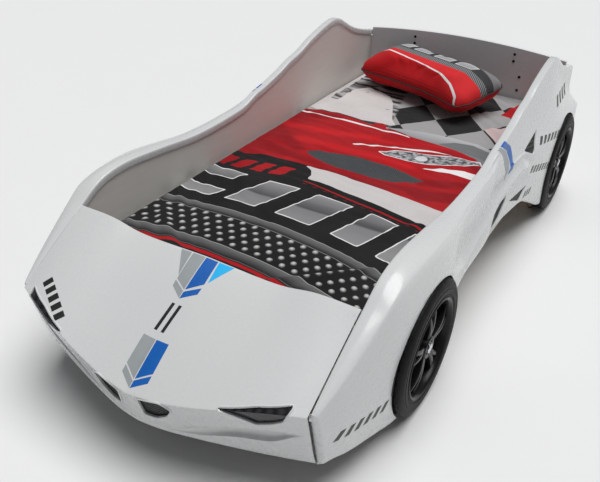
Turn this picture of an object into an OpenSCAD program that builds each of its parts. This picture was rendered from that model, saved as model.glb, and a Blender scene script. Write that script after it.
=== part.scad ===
// Racing-car bed for a child: moulded car body shells over a board frame,
// slatted base on steel rails, decorative wheels, mattress, bedspread and pillow.
// +Z is up, the nose faces -Y, and the origin is on the floor under the middle.

/* [Mattress and bedding] */
// Width of the mattress
mattress_w = 900; // [880:5:904]
// Length of the mattress
mattress_l = 1870; // [1850:5:1872]
// Thickness of the mattress
mattress_h = 150; // [120:5:160]
// Thickness of the bedspread
bedspread_h = 19; // [12:1:24]
// Length of the pillow along its long side
pillow_l = 640; // [600:10:660]

/* [Frame] */
// Thickness of every board
board_t = 18; // [16:1:18]
// Height of the slats' top face above the floor
slat_top = 200; // [190:5:210]
// Thickness of one slat
slat_t = 15; // [12:1:18]
// Width of one slat
slat_w = 70; // [55:5:90]
// Number of slats
slat_n = 13; // [9:1:15]
// Leg length of the steel angle that carries the slats
rail_leg = 25; // [22:1:28]
// Steel thickness of the rail and the corner brackets
steel_t = 3; // [2:0.5:4]
// Side of the square centre beam
beam_s = 40; // [30:5:40]

/* [Body shells] */
// Wall of the moulded shells
shell_t = 4; // [3:0.5:5]
// Half width between the inner faces of the two side boards
half_in = 460; // [458:1:462]
// Length of the nose in front of the hood's rear edge
nose_l = 345; // [345:1:350]
// Gap between the hood and each side shell
seam = 1; // [0.5:0.5:2]
// Radius of the wheel arches
arch_r = 218; // [212:1:224]

/* [Wheels] */
// Outer radius of the tyres
tyre_r = 204; // [196:1:206]
// Width of each wheel
wheel_w = 60; // [50:1:60]
// Radius of the rim
rim_r = 150; // [140:1:156]
// Number of spoke pairs
spoke_n = 5; // [4:1:7]
// Radius of the centre cap
cap_r = 24; // [18:1:30]

/* [Hidden] */

// Y of the hood's rear edge; every u below is a distance behind that edge
hood_y = nose_l - 1125;
// u of the backboard's front face, and of the side shells' two ends
back_u = 1886;
tip_u = -237;
end_u = 1905;
// u of the front and rear wheel centres, and their height
front_wheel_u = 262;
rear_wheel_u = 1666;
axle_z = 208;
// Outer faces of the wheels, and the outer face of the side boards
wheel_x = 560;
board_out = half_in + board_t;
// Vertical stack of the base
board_bottom = 160;
cap_t = 2;
rail_top = slat_top - slat_t - cap_t;
mattress_z = slat_top + cap_t + 0.3;
bedspread_z = mattress_z + mattress_h + 0.3;
pillow_z = bedspread_z + bedspread_h + 0.3;
// Holes are this much wider than the screws in them
play = 0.2;
// Half width of the hood
hood_half = half_in - 4 - seam;

// Height of the side shell's inner crest along the bed
crest_tab = [[-237, 314], [-120, 395], [0, 477], [24, 486], [46, 506], [80, 520], [120, 530],
    [180, 535], [230, 533], [310, 525], [410, 514], [510, 501], [600, 498], [700, 500], [835, 509],
    [890, 532], [950, 542], [1080, 574], [1150, 598], [1220, 610], [1270, 632], [1350, 655],
    [1460, 680], [1530, 684], [1584, 660], [1691, 605], [1840, 562], [1905, 548]];
// Height and half width of the shoulder line
shoulder_z_tab = [[-237, 310], [-150, 365], [-100, 402], [0, 468], [50, 503], [120, 514], [190, 520],
    [270, 522], [333, 515], [450, 500], [600, 478], [835, 468], [1100, 464], [1500, 456],
    [1666, 452], [1800, 440], [1905, 425]];
shoulder_x_tab = [[-237, 472], [-150, 490], [0, 514], [100, 525], [200, 531], [300, 532],
    [450, 522], [600, 509], [835, 506], [1000, 512], [1200, 524], [1400, 537], [1600, 541],
    [1800, 540], [1905, 532]];
// Widest half width of the flank
flank_x_tab = [[-237, 477], [-200, 486], [-150, 500], [-80, 514], [0, 528], [100, 541], [200, 547],
    [300, 548], [400, 543], [500, 532], [620, 523], [800, 518], [1000, 521], [1200, 530],
    [1350, 541], [1500, 548], [1666, 550], [1800, 548], [1905, 540]];
// Height of the body's lower edge
bottom_tab = [[-237, 148], [-160, 138], [0, 92], [60, 72], [100, 60], [262, 60], [380, 130],
    [487, 235], [720, 246], [890, 258], [1040, 253], [1170, 238], [1280, 190], [1430, 110],
    [1490, 84], [1666, 84], [1905, 92]];
// Height of the sill ridge, and how strongly the door's hollow and ridge show
ridge_tab = [[480, 310], [650, 335], [850, 362], [1000, 392], [1150, 408], [1300, 405]];
door_tab = [[400, 0], [520, 1], [1150, 1], [1300, 0]];
// Width of the flat rail along the crest, wide ahead of the kink and thin behind it
rail_x_tab = [[-237, 464], [-150, 470], [-20, 484], [835, 484], [1905, 484]];
kink_tab = [[830, 0], [900, 1]];

// Front edge of the hood: how far forward and how high, by distance from the centre line
crease_u_tab = [[0, -345], [110, -340], [200, -312], [290, -280], [385, -255], [460, -238]];
crease_z_tab = [[0, 247], [110, 262], [200, 275], [290, 288], [385, 301], [460, 313]];
lower_u_tab = [[0, -344], [100, -331], [230, -296], [380, -238], [460, -221]];
lower_z_tab = [[0, 128], [230, 134], [460, 147]];
// Height of the hood's rear edge, lower in the middle
rear_z_tab = [[0, 462], [230, 458], [330, 476], [460, 477]];
// Depth of the long hollow under the headlights
scoop_tab = [[150, 0], [240, 16], [400, 14], [440, 0]];

// Outlines that are cut through the shells, as [across or along, up]
headlight_pts = [[238, 282], [404, 330], [412, 324], [392, 289], [371, 274], [335, 264], [298, 267], [262, 274]];
grille_pts = [[26, 228], [108, 238], [126, 228], [112, 204], [84, 188], [44, 184]];
intake_pts = [[205, 208], [222, 217], [290, 229], [345, 238], [398, 250], [376, 238], [300, 219]];
upper_vent_pts = [[1130, 450], [1260, 492], [1225, 417]];
lower_vent_pts = [[1030, 306], [1210, 297], [1140, 262]];

// Row of the table that a position falls in
function row_of(t, u, i = 0) = i >= len(t) - 2 || u < t[i + 1][0] ? i : row_of(t, u, i + 1);
// Slope of the smooth curve at one row
function slope(t, i) = let (a = max(i - 1, 0), b = min(i + 1, len(t) - 1))
    (t[b][1] - t[a][1]) / (t[b][0] - t[a][0]);
// Smooth curve through a table of [position, value] rows, level beyond its ends
function curve(t, u) =
    let (i = row_of(t, u), h = t[i + 1][0] - t[i][0], s = max(0, min(1, (u - t[i][0]) / h)))
    (2 * s - 3) * s * s * t[i][1] + t[i][1] + (s - 1) * (s - 1) * s * slope(t, i) * h
    + (3 - 2 * s) * s * s * t[i + 1][1] + (s - 1) * s * s * slope(t, i + 1) * h;
function mix(a, b, s) = a + (b - a) * s;
function unit(v) = v / max(norm(v), 0.001);

// Direction of an open line at point i, and that line moved sideways by d
function tangent(p, i) = unit(unit(p[min(i + 1, len(p) - 1)] - p[i] + (i == len(p) - 1 ? p[i] - p[i - 1] : [0, 0]))
    + unit(p[i] - p[max(i - 1, 0)] + (i == 0 ? p[1] - p[0] : [0, 0])));
function moved(p, d) = [for (i = [0:len(p) - 1]) let (t = tangent(p, i)) p[i] + d * [t[1], -t[0]]];
// Closed band of thickness d along an open line, seen between depths a and b
function band(p, a, b) = concat(moved(p, a), [for (i = [len(p) - 1:-1:0]) moved(p, b)[i]]);

// Closed skin through a list of equal-length rings, each a band: out along one line and back along the other
module loft(rings) {
    n = len(rings[0]);
    m = len(rings);
    last = (m - 1) * n;
    sides = [for (j = [0:m - 2], i = [0:n - 1]) each
        [[j * n + i, j * n + (i + 1) % n, (j + 1) * n + (i + 1) % n],
         [j * n + i, (j + 1) * n + (i + 1) % n, (j + 1) * n + i]]];
    ends = [for (i = [0:n / 2 - 2]) let (a = i, b = i + 1, c = n - 2 - i, d = n - 1 - i) each
        [[c, b, a], [d, c, a], [last + a, last + b, last + c], [last + a, last + c, last + d]]];
    polyhedron([for (r = rings) each r], concat(sides, ends), 4);
}

// Outer line of the left side shell at u, as [x, z] from the inner lip to the lower return
function side_line(u) =
    let (c = curve(crest_tab, u), sz = curve(shoulder_z_tab, u), sx = curve(shoulder_x_tab, u),
        fx = curve(flank_x_tab, u), b = curve(bottom_tab, u), d = curve(door_tab, u),
        r = curve(ridge_tab, u), k = curve(kink_tab, u), rx = curve(rail_x_tab, u),
        fz = sz - (sz - b) * 0.3, low = fz - b)
    [[half_in - 4, c - 20], [half_in - 4, c - 4], [half_in, c], [rx, c],
     [mix(rx, sx, mix(0.6, 0.35, k)), mix(c, sz, mix(0.3, 0.55, k))],
     [sx, sz], [mix(fx - 5, sx + 2, d), mix(sz, fz, 0.5)], [mix(fx, sx - 1, d), fz],
     [mix(fx, sx + 2, d), mix(fz - low * 0.15, r + 22, d)],
     [fx + 4 * d, mix(fz - low * 0.3, r, d)],
     [fx + 2 * d, mix(fz - low * 0.45, r - 12, d)],
     [fx - 10 * d, mix(fz - low * 0.6, mix(r, b, 0.45), d)],
     [fx - 3 * d, mix(fz - low * 0.78, mix(r, b, 0.8), d)],
     [fx - 6, b + 5], [fx - 26, b]];
side_cells = 44;
side_us = [for (i = [0:side_cells]) mix(tip_u, end_u, i / side_cells)];
module side_skin(a, b) loft([for (u = side_us)
    [for (q = band(side_line(u), a, b)) [q[0], u + hood_y, q[1]]]]);

// Turns a flat outline [u, z] into a prism across the bed between two half widths
module across(x0, x1, y0 = hood_y) translate([x0, y0, 0]) rotate([90, 0, 90]) linear_extrude(x1 - x0) children();
module arches() for (u = [front_wheel_u, rear_wheel_u])
    translate([board_out + 4, hood_y + u, axle_z]) rotate([0, 90, 0]) cylinder(h = 120, r = arch_r, $fn = 96);
module side_shell() color("white") difference() {
    side_skin(0, shell_t);
    arches();
    across(half_in + 20, wheel_x) offset(delta = 0.5) polygon(upper_vent_pts);
    across(half_in + 20, wheel_x) offset(delta = 0.5) polygon(lower_vent_pts);
}
// Flat mesh plate behind a side opening, a little larger than it, leaning out by tilt degrees
vent_t = 3;
function middle(pts) = [for (k = [0, 1]) (pts[0][k] + pts[1][k] + pts[2][k]) / 3];
module vent_plate(pts, x, tilt) color("#1c1d1f") translate([x, hood_y, middle(pts)[1]]) rotate([0, tilt, 0])
    across(-vent_t, 0, 0) translate([middle(pts)[0], 0]) scale(1.12)
        polygon([for (q = pts) q - middle(pts)]);
module upper_vent() vent_plate(upper_vent_pts, 508, -9);
module lower_vent() vent_plate(lower_vent_pts, 510, 0);

// Outer line of the hood at a distance x from the centre, as [u, z] from the rear lip to the lower return
function hood_line(x) =
    let (r = curve(rear_z_tab, x), cu = curve(crease_u_tab, x), cz = curve(crease_z_tab, x),
        lu = curve(lower_u_tab, x), lz = curve(lower_z_tab, x), s = curve(scoop_tab, x),
        crown = 14 * (1 - x / 460))
    [[0, r - 34], [0, r - 4], [-4, r],
     [mix(-4, cu, 0.3), mix(r, cz, 0.3) + crown], [mix(-4, cu, 0.6), mix(r, cz, 0.6) + crown],
     [mix(-4, cu, 0.85), mix(r, cz, 0.85) + crown / 2], [cu + 3, cz], [cu, cz - 5],
     [mix(cu, lu, 0.3) + 3, mix(cz, lz, 0.3)], [mix(cu, lu, 0.5) + s, mix(cz, lz, 0.45)],
     [mix(cu, lu, 0.6) + s, mix(cz, lz, 0.62)], [lu, mix(cz, lz, 0.85)], [lu + 3, lz + 4], [lu + 20, lz]];
hood_cells = 36;
hood_xs = [for (i = [0:hood_cells]) hood_half * (2 * i / hood_cells - 1)];
module hood_skin(a, b) mirror([1, 0, 0]) loft([for (x = hood_xs)
    [for (q = band(hood_line(abs(x)), -a, -b)) [-x, q[0] + hood_y, q[1]]]]);

// Turns a flat outline [x, z] into a prism along the nose
module through_nose() translate([0, hood_y - 160, 0]) rotate([90, 0, 0]) linear_extrude(220) children();
module both_sides() for (m = [0, 1]) mirror([m, 0, 0]) children();
module hood_shell() color("white") difference() {
    hood_skin(0, shell_t);
    both_sides() for (pts = [headlight_pts, grille_pts, intake_pts]) through_nose()
        offset(delta = 0.5) polygon(pts);
}
module nose_insert(pts, inset) color("#1c1d1f") intersection() {
    hood_skin(inset, inset + shell_t);
    through_nose() polygon(pts);
}

// Side board: follows the crest just under the shell's rim
board_front = -20;
board_us = [for (i = [0:48]) mix(board_front, back_u, i / 48)];
module side_board() color("#d8cfc0") difference() {
    across(half_in, board_out) polygon(concat([[board_front, board_bottom]],
        [for (i = [0:48]) [board_us[i], curve(crest_tab, board_us[i]) - 12]], [[back_u, board_bottom]]));
    rail_screw_places() rotate([0, 90, 0]) cylinder(h = 16, r = screw_r + play, $fn = 24);
    bracket_places() translate([0, 0, -1]) cylinder(h = 13, r = bolt_r + play, $fn = 24);
}

// Backboard with an arched top, its corners cut out under the side shells' rims
corner_z = 520;
module backboard() color("#d9d9d8") difference() {
    translate([0, hood_y + back_u + board_t, 0]) rotate([90, 0, 0]) linear_extrude(board_t)
        intersection() {
            translate([-board_out, board_bottom]) square([board_out * 2, 600]);
            translate([0, 592 - back_arc_r]) circle(back_arc_r, $fn = 360);
        }
    backboard_bolt_places() translate([0, 1, 0]) rotate([-90, 0, 0]) cylinder(h = 14, r = 3 + play, $fn = 24);
    end_bracket_places(back_u, 1) cylinder(h = 12, r = bolt_r + play, $fn = 24);
    both_sides() translate([half_in - 5, hood_y + back_u - 1, corner_z]) cube([board_t + 6, board_t + 2, 60]);
}
back_arc_r = 3600;

// Footboard under the hood's rear edge
foot_u = -2;
module footboard() color("#cfc8ba") difference() {
    translate([-half_in, hood_y + foot_u - board_t, board_bottom]) cube([half_in * 2, board_t, 260]);
    end_bracket_places(foot_u, -1) cylinder(h = 12, r = bolt_r + play, $fn = 24);
}

// Wheel panels: board plates behind the wheels, narrower at the foot, that stand on the floor glides
panel_half = 150;
panel_foot = 75;
panel_top = 330;
glide_h = 10;
module at_wheel(u) translate([0, hood_y + u, axle_z]) children();
module wheel_panel(u) color("#bfb6a6") difference() {
    at_wheel(u) translate([board_out, 0, -axle_z]) rotate([90, 0, 90]) linear_extrude(board_t)
        polygon([[-panel_foot, glide_h], [panel_foot, glide_h], [panel_half, 100], [panel_half, panel_top],
            [-panel_half, panel_top], [-panel_half, 100]]);
    wheel_screw_places(u) translate([-14, 0, 0]) rotate([0, 90, 0]) cylinder(h = 20, r = screw_r + play, $fn = 24);
}

// Tyre: ring around the axle with a rounded shoulder
wheel_in = wheel_x - wheel_w;
module on_axle(u) at_wheel(u) translate([wheel_in, 0, 0]) rotate([90, 0, 90]) children();
module tyre(u) color("#151515") on_axle(u) rotate_extrude($fn = 96) polygon([[rim_r, 4], [rim_r + 8, 0],
    [tyre_r - 16, 0], [tyre_r - 4, 5], [tyre_r, 13], [tyre_r, wheel_w - 13], [tyre_r - 4, wheel_w - 5],
    [tyre_r - 18, wheel_w], [rim_r + 8, wheel_w], [rim_r, wheel_w - 5]]);

// Rim: barrel, back plate, hub and pairs of spokes
hub_r = 38;
spoke_t = 13;
spoke_root = 30;
spoke_lean = 5;
back_plate_t = wheel_in - board_out - board_t + 4;
module rim(u) color("#202124") difference() {
    on_axle(u) union() {
        difference() {
            cylinder(h = wheel_w - 6, r = rim_r, $fn = 96);
            translate([0, 0, 5]) cylinder(h = wheel_w, r = rim_r - 9, $fn = 96);
        }
        translate([0, 0, 4 - back_plate_t]) cylinder(h = back_plate_t, r = rim_r - 30, $fn = 96);
        cylinder(h = wheel_w - 14, r = hub_r, $fn = 48);
        for (i = [0:spoke_n - 1], s = [-1, 1]) rotate([0, 0, i * 360 / spoke_n])
            translate([s * 10, 0, wheel_w - 28]) rotate([0, 0, -s * spoke_lean])
                translate([-spoke_t / 2, spoke_root, 0]) cube([spoke_t, rim_r - spoke_root - 5, 12]);
    }
    wheel_screw_places(u) translate([-14, 0, 0]) rotate([0, 90, 0]) cylinder(h = 24, r = screw_r + play, $fn = 24);
}
module hub_cap(u) color("#8d9094") on_axle(u) translate([0, 0, wheel_w - 14]) intersection() {
    cylinder(h = 9, r = cap_r, $fn = 48);
    translate([0, 0, 9 - 2.4 * cap_r]) sphere(2.4 * cap_r, $fn = 96);
}

// Screws that hold a wheel to its panel
screw_r = 2.5;
screw_head_r = 5;
module wheel_screw_places(u) at_wheel(u) for (i = [0:spoke_n - 1])
    rotate([(i + 0.5) * 360 / spoke_n, 0, 0]) translate([wheel_in, 0, 90]) children();
module screw(l) {
    rotate([0, -90, 0]) cylinder(h = l, r = screw_r, $fn = 24);
    rotate([0, 90, 0]) cylinder(h = 3, r = screw_head_r, $fn = 24);
}
module wheel_screws() color("silver") both_sides() for (u = [front_wheel_u, rear_wheel_u])
    wheel_screw_places(u) translate([5, 0, 0]) screw(18);

// Slat rails: steel angles screwed to the side boards
rail_front = 20;
rail_l = back_u - 40;
module slat_rail() color("#3b3d40") difference() {
    translate([half_in - rail_leg, hood_y + rail_front, rail_top - rail_leg]) cube([rail_leg, rail_l, rail_leg]);
    translate([half_in - rail_leg - 1, hood_y + rail_front - 1, rail_top - rail_leg - 1])
        cube([rail_leg + 1 - steel_t, rail_l + 2, rail_leg + 1 - steel_t]);
    rail_screw_places() translate([-9, 0, 0]) rotate([0, 90, 0]) cylinder(h = 12, r = screw_r + play, $fn = 24);
}
rail_screw_n = 7;
module rail_screw_places() for (i = [0:rail_screw_n - 1]) translate([half_in - 1,
    hood_y + rail_front + 60 + i * (rail_l - 120) / (rail_screw_n - 1), rail_top - rail_leg / 2]) children();
module rail_screws() color("silver") both_sides() rail_screw_places() translate([1 - steel_t, 0, 0])
    mirror([1, 0, 0]) screw(17);

// Slats with plastic caps on their ends
slat_half = half_in - 8;
slat_pitch = (back_u - 110) / (slat_n - 1);
module slat_places() for (i = [0:slat_n - 1]) translate([0, hood_y + 55 + i * slat_pitch, 0]) children();
module slats() color("#d9b98a") slat_places()
    translate([-slat_half, -slat_w / 2, slat_top - slat_t]) cube([slat_half * 2, slat_w, slat_t]);
cap_l = 32;
module slat_end_caps() color("#2a2a2a") both_sides() slat_places() difference() {
    translate([slat_half + cap_t - cap_l, -slat_w / 2 - cap_t, rail_top])
        cube([cap_l, slat_w + 2 * cap_t, slat_t + 2 * cap_t]);
    translate([0, -slat_w / 2, slat_top - slat_t]) cube([slat_half, slat_w, slat_t]);
}

// Centre beam and its legs
beam_top = slat_top - slat_t;
leg_us = [470, 1420];
module centre_beam() color("#3b3d40") translate([-beam_s / 2, hood_y, beam_top - beam_s]) difference() {
    translate([0, foot_u, 0]) cube([beam_s, back_u - foot_u, beam_s]);
    translate([2, foot_u - 1, 2]) cube([beam_s - 4, back_u - foot_u + 2, beam_s - 4]);
}
module centre_legs() color("#3b3d40") for (u = leg_us)
    translate([0, hood_y + u, glide_h]) cylinder(h = beam_top - beam_s - glide_h, r = 18, $fn = 48);
module leg_glides() color("#2a2a2a") for (u = leg_us)
    translate([0, hood_y + u, 0]) cylinder(h = glide_h, r = 22, $fn = 48);
module floor_glides() color("#2a2a2a") both_sides()
    for (u = [front_wheel_u, rear_wheel_u], s = [-1, 1])
        translate([board_out + board_t / 2, hood_y + u + s * 55, 0]) cylinder(h = glide_h, r = 9, $fn = 48);

// Corner brackets: steel angles inside the four corners
bracket_s = 40;
bracket_z = 230;
bolt_r = 3;
module corner_places(u, s) both_sides()
    translate([half_in, hood_y + u, bracket_z]) mirror([0, s > 0 ? 1 : 0, 0]) children();
module corner_brackets() color("silver") for (c = [[foot_u, -1], [back_u, 1]]) corner_places(c[0], c[1])
    difference() {
        translate([-bracket_s, 0, 0]) cube([bracket_s, bracket_s, bracket_s]);
        translate([-bracket_s - 1, steel_t, -1]) cube([bracket_s - steel_t + 1, bracket_s, bracket_s + 2]);
        translate([-bracket_s / 2, -1, bracket_s / 2]) rotate([-90, 0, 0]) cylinder(h = 9, r = bolt_r + play, $fn = 24);
        translate([-9, bracket_s * 0.6, bracket_s / 2]) rotate([0, 90, 0]) cylinder(h = 12, r = bolt_r + play, $fn = 24);
    }
module bracket_bolt(l) {
    cylinder(h = l, r = bolt_r, $fn = 24);
    translate([0, 0, -3]) cylinder(h = 3, r = 6, $fn = 6);
}
// Bolt places into the side board and into the end board of each corner
module bracket_places() for (c = [[foot_u, -1], [back_u, 1]])
    translate([half_in, hood_y + c[0] - c[1] * bracket_s * 0.6, bracket_z + bracket_s / 2]) rotate([0, 90, 0]) children();
module end_bracket_places(u, s) both_sides()
    translate([half_in - bracket_s / 2, hood_y + u, bracket_z + bracket_s / 2]) rotate([-90 * s, 0, 0]) children();
module bracket_bolts() color("dimgray") {
    both_sides() bracket_places() translate([0, 0, -steel_t]) bracket_bolt(14);
    end_bracket_places(foot_u, -1) translate([0, 0, -steel_t]) bracket_bolt(13);
    end_bracket_places(back_u, 1) translate([0, 0, -steel_t]) bracket_bolt(13);
}

// Black bolt heads on the backboard's front face
backboard_bolt_xz = [[235, 555], [235, 525], [272, 460], [272, 400]];
module backboard_bolt_places() both_sides() for (p = backboard_bolt_xz)
    translate([p[0], hood_y + back_u - 2, p[1]]) children();
module backboard_bolts() color("#1c1d1f") backboard_bolt_places() rotate([-90, 0, 0]) {
    cylinder(h = 2, r = 6, $fn = 32);
    cylinder(h = 14, r = 3, $fn = 24);
}

// Small caps over the screws along the hood's two seams
cap_us = [-210, -140, -65, -20];
module shell_screw_caps() color("white") both_sides() for (u = cap_us)
    translate([hood_half - 9, hood_y + u, hood_height(hood_half - 9, u)]) rotate([34, 0, 0])
        cylinder(h = 1.6, r = 4, $fn = 32);
// Height of the hood's outer face at a distance x from the centre and at u
function hood_height(x, u) = let (r = curve(rear_z_tab, x), cu = curve(crease_u_tab, x),
    cz = curve(crease_z_tab, x)) mix(r, cz, (u + 4) / (cu + 4)) + 0.9;

// Mattress, bedspread and pillow: plain closed solids of the right size
module rounded_slab(l, w, h, r) hull() for (x = [-1, 1], y = [-1, 1])
    translate([x * (w / 2 - r), y * (l / 2 - r), 0]) cylinder(h = h, r = r, $fn = 48);
mattress_u = 8 + mattress_l / 2;
module mattress() color("#f2f1ee") translate([0, hood_y + mattress_u, mattress_z])
    rounded_slab(mattress_l, mattress_w, mattress_h, 30);
module bedspread() color("#8e1d22") translate([0, hood_y + mattress_u, bedspread_z])
    rounded_slab(mattress_l, mattress_w + 2, bedspread_h, 30);

// Pillow: leans a little against the backboard, its near end turned towards the nose
pillow_r = 46;
pillow_h = 170;
module pillow() color("#a3161c") translate([-60, hood_y + back_u - 196, pillow_z]) rotate([0, 0, -18]) hull()
    for (p = [[-0.5, -1, 0], [0.5, -1, 0], [-0.5, 0.45, 1], [0.5, 0.9, 1]])
        translate([p[0] * (pillow_l - 2 * pillow_r), p[1] * 110,
            pillow_r + p[2] * (pillow_h - 2 * pillow_r)]) sphere(pillow_r, $fn = 32);

hood_shell();
side_shell();  // left_side_shell
mirror([1, 0, 0]) side_shell();  // right_side_shell
nose_insert(headlight_pts, 2);  // left_headlight
mirror([1, 0, 0]) nose_insert(headlight_pts, 2);  // right_headlight
nose_insert(grille_pts, 5);  // left_grille
mirror([1, 0, 0]) nose_insert(grille_pts, 5);  // right_grille
nose_insert(intake_pts, 4);  // left_intake
mirror([1, 0, 0]) nose_insert(intake_pts, 4);  // right_intake
upper_vent();  // left_upper_vent
mirror([1, 0, 0]) upper_vent();  // right_upper_vent
lower_vent();  // left_lower_vent
mirror([1, 0, 0]) lower_vent();  // right_lower_vent
side_board();  // left_side_board
mirror([1, 0, 0]) side_board();  // right_side_board
backboard();
footboard();
wheel_panel(front_wheel_u);  // front_left_wheel_panel
mirror([1, 0, 0]) wheel_panel(front_wheel_u);  // front_right_wheel_panel
wheel_panel(rear_wheel_u);  // rear_left_wheel_panel
mirror([1, 0, 0]) wheel_panel(rear_wheel_u);  // rear_right_wheel_panel
tyre(front_wheel_u);  // front_left_tyre
mirror([1, 0, 0]) tyre(front_wheel_u);  // front_right_tyre
tyre(rear_wheel_u);  // rear_left_tyre
mirror([1, 0, 0]) tyre(rear_wheel_u);  // rear_right_tyre
rim(front_wheel_u);  // front_left_rim
mirror([1, 0, 0]) rim(front_wheel_u);  // front_right_rim
rim(rear_wheel_u);  // rear_left_rim
mirror([1, 0, 0]) rim(rear_wheel_u);  // rear_right_rim
hub_cap(front_wheel_u);  // front_left_hub_cap
mirror([1, 0, 0]) hub_cap(front_wheel_u);  // front_right_hub_cap
hub_cap(rear_wheel_u);  // rear_left_hub_cap
mirror([1, 0, 0]) hub_cap(rear_wheel_u);  // rear_right_hub_cap
wheel_screws();
slat_rail();  // left_slat_rail
mirror([1, 0, 0]) slat_rail();  // right_slat_rail
rail_screws();
slats();
slat_end_caps();
centre_beam();
centre_legs();
leg_glides();
floor_glides();
corner_brackets();
bracket_bolts();
backboard_bolts();
shell_screw_caps();
mattress();
bedspread();
pillow();
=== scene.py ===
"""Racing-car bed for a child: the visual model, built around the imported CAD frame.

Body surfaces are written in bed millimetres (x across, u behind the hood's rear edge, z above the
floor) and turned into the row frame, in metres, by to_row().
"""
import math
from contextlib import contextmanager

import bmesh
import bpy
import numpy as np
from mathutils import Matrix, Vector
from mathutils.bvhtree import BVHTree


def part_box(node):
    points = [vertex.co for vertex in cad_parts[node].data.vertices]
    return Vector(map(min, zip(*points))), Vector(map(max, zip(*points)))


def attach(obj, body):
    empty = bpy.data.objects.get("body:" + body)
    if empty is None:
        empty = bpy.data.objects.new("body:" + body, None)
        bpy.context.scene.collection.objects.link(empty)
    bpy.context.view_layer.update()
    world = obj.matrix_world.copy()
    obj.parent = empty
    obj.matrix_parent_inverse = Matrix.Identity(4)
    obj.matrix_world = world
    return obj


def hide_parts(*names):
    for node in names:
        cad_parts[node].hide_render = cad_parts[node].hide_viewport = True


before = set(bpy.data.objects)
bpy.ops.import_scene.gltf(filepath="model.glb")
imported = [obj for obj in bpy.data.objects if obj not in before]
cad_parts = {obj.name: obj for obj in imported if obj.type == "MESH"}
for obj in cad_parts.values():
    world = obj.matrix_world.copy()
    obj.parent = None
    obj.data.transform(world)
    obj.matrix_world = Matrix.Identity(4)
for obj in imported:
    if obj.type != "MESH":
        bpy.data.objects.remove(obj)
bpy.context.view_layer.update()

MM = 0.001
HOOD_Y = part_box("hood_shell")[1].y
BOARD_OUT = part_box("left_side_board")[1].x / MM
TIP_U = (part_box("left_side_shell")[0].y - HOOD_Y) / MM
END_U = (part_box("left_side_shell")[1].y - HOOD_Y) / MM
NOSE_U = (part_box("hood_shell")[0].y - HOOD_Y) / MM
WHEEL_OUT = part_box("front_left_tyre")[1].x / MM
WHEEL_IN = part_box("front_left_tyre")[0].x / MM


def centre_of(node):
    low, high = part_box(node)
    return (low + high) / 2


AXLE_Z = centre_of("front_left_tyre").z / MM
TYRE_R = (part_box("front_left_tyre")[1].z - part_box("front_left_tyre")[0].z) / 2 / MM
FRONT_U = (centre_of("front_left_tyre").y - HOOD_Y) / MM
REAR_U = (centre_of("rear_left_tyre").y - HOOD_Y) / MM
ARCH_R = TYRE_R + 6
HOOD_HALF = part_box("hood_shell")[1].x / MM
LIP_X = HOOD_HALF + 1
# thickness of the moulded shells, of the sheets behind their openings and of the printed film
SHELL_T, SHEET_T, FILM_T = 4, 2, 0.4
EDGE_R = 1.2
# pairs of row-frame axes in which outlines are drawn
SIDE_VIEW, FRONT_VIEW, TOP_VIEW = (1, 2), (0, 2), (0, 1)
# how far across the bed a cut through the flank of the left shell may reach
FLANK_DEPTH = (BOARD_OUT + 2, WHEEL_OUT + 20)


# ---------------------------------------------------------------- curves and meshes

def to_row(points):
    """Bed millimetres [x, u, z] to row-frame metres."""
    p = np.asarray(points, float) * MM
    p[:, 1] += HOOD_Y
    return p


def curve(table, at):
    """Smooth curve through [position, value] rows, level beyond its ends."""
    t = np.asarray(table, float)
    at = min(max(at, t[0, 0]), t[-1, 0])
    i = int(min(np.searchsorted(t[:, 0], at, side="right") - 1, len(t) - 2))

    def slope(k):
        a, b = max(k - 1, 0), min(k + 1, len(t) - 1)
        return (t[b, 1] - t[a, 1]) / (t[b, 0] - t[a, 0])

    h = t[i + 1, 0] - t[i, 0]
    s = (at - t[i, 0]) / h
    return ((2 * s - 3) * s * s * t[i, 1] + t[i, 1] + (s - 1) ** 2 * s * slope(i) * h
            + (3 - 2 * s) * s * s * t[i + 1, 1] + (s - 1) * s * s * slope(i + 1) * h)


def ramp(table, at):
    """Straight lines through [position, value] rows, level beyond its ends."""
    t = np.asarray(table, float)
    return float(np.interp(at, t[:, 0], t[:, 1]))


def mix(a, b, s):
    return a + (b - a) * s


def linked(name, mesh):
    obj = bpy.data.objects.new(name, mesh)
    bpy.context.scene.collection.objects.link(obj)
    return obj


def new_object(name, verts, faces):
    mesh = bpy.data.meshes.new(name)
    mesh.from_pydata([tuple(v) for v in verts], [], [tuple(f) for f in faces])
    mesh.validate()
    return linked(name, mesh)


@contextmanager
def editing(obj):
    """A bmesh of obj, written back when the block ends."""
    bm = bmesh.new()
    bm.from_mesh(obj.data)
    yield bm
    bm.to_mesh(obj.data)
    bm.free()


def outward(obj):
    """Turns the faces of a closed mesh outwards."""
    with editing(obj) as bm:
        bmesh.ops.recalc_face_normals(bm, faces=bm.faces)
    return obj


def modifier(obj, kind, **settings):
    m = obj.modifiers.new(kind.lower(), kind)
    for key, value in settings.items():
        setattr(m, key, value)
    return m


def applied(obj):
    """Bakes the modifiers of obj into its mesh."""
    bpy.context.view_layer.update()
    graph = bpy.context.evaluated_depsgraph_get()
    mesh = bpy.data.meshes.new_from_object(obj.evaluated_get(graph))
    obj.modifiers.clear()
    obj.data = mesh
    return obj


def subdivided(obj, levels):
    modifier(obj, "SUBSURF", levels=levels, render_levels=levels)
    return applied(obj)


def thickened(obj, thickness, side=-1):
    """Gives an open surface a thickness in mm, inwards unless side is 1."""
    modifier(obj, "SOLIDIFY", thickness=thickness * MM, offset=side)
    return applied(obj)


def bevelled(obj, width, angle):
    """Rounds the edges of obj that are sharper than angle."""
    return modifier(obj, "BEVEL", width=width * MM, segments=2, limit_method="ANGLE",
                    angle_limit=math.radians(angle))


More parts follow.
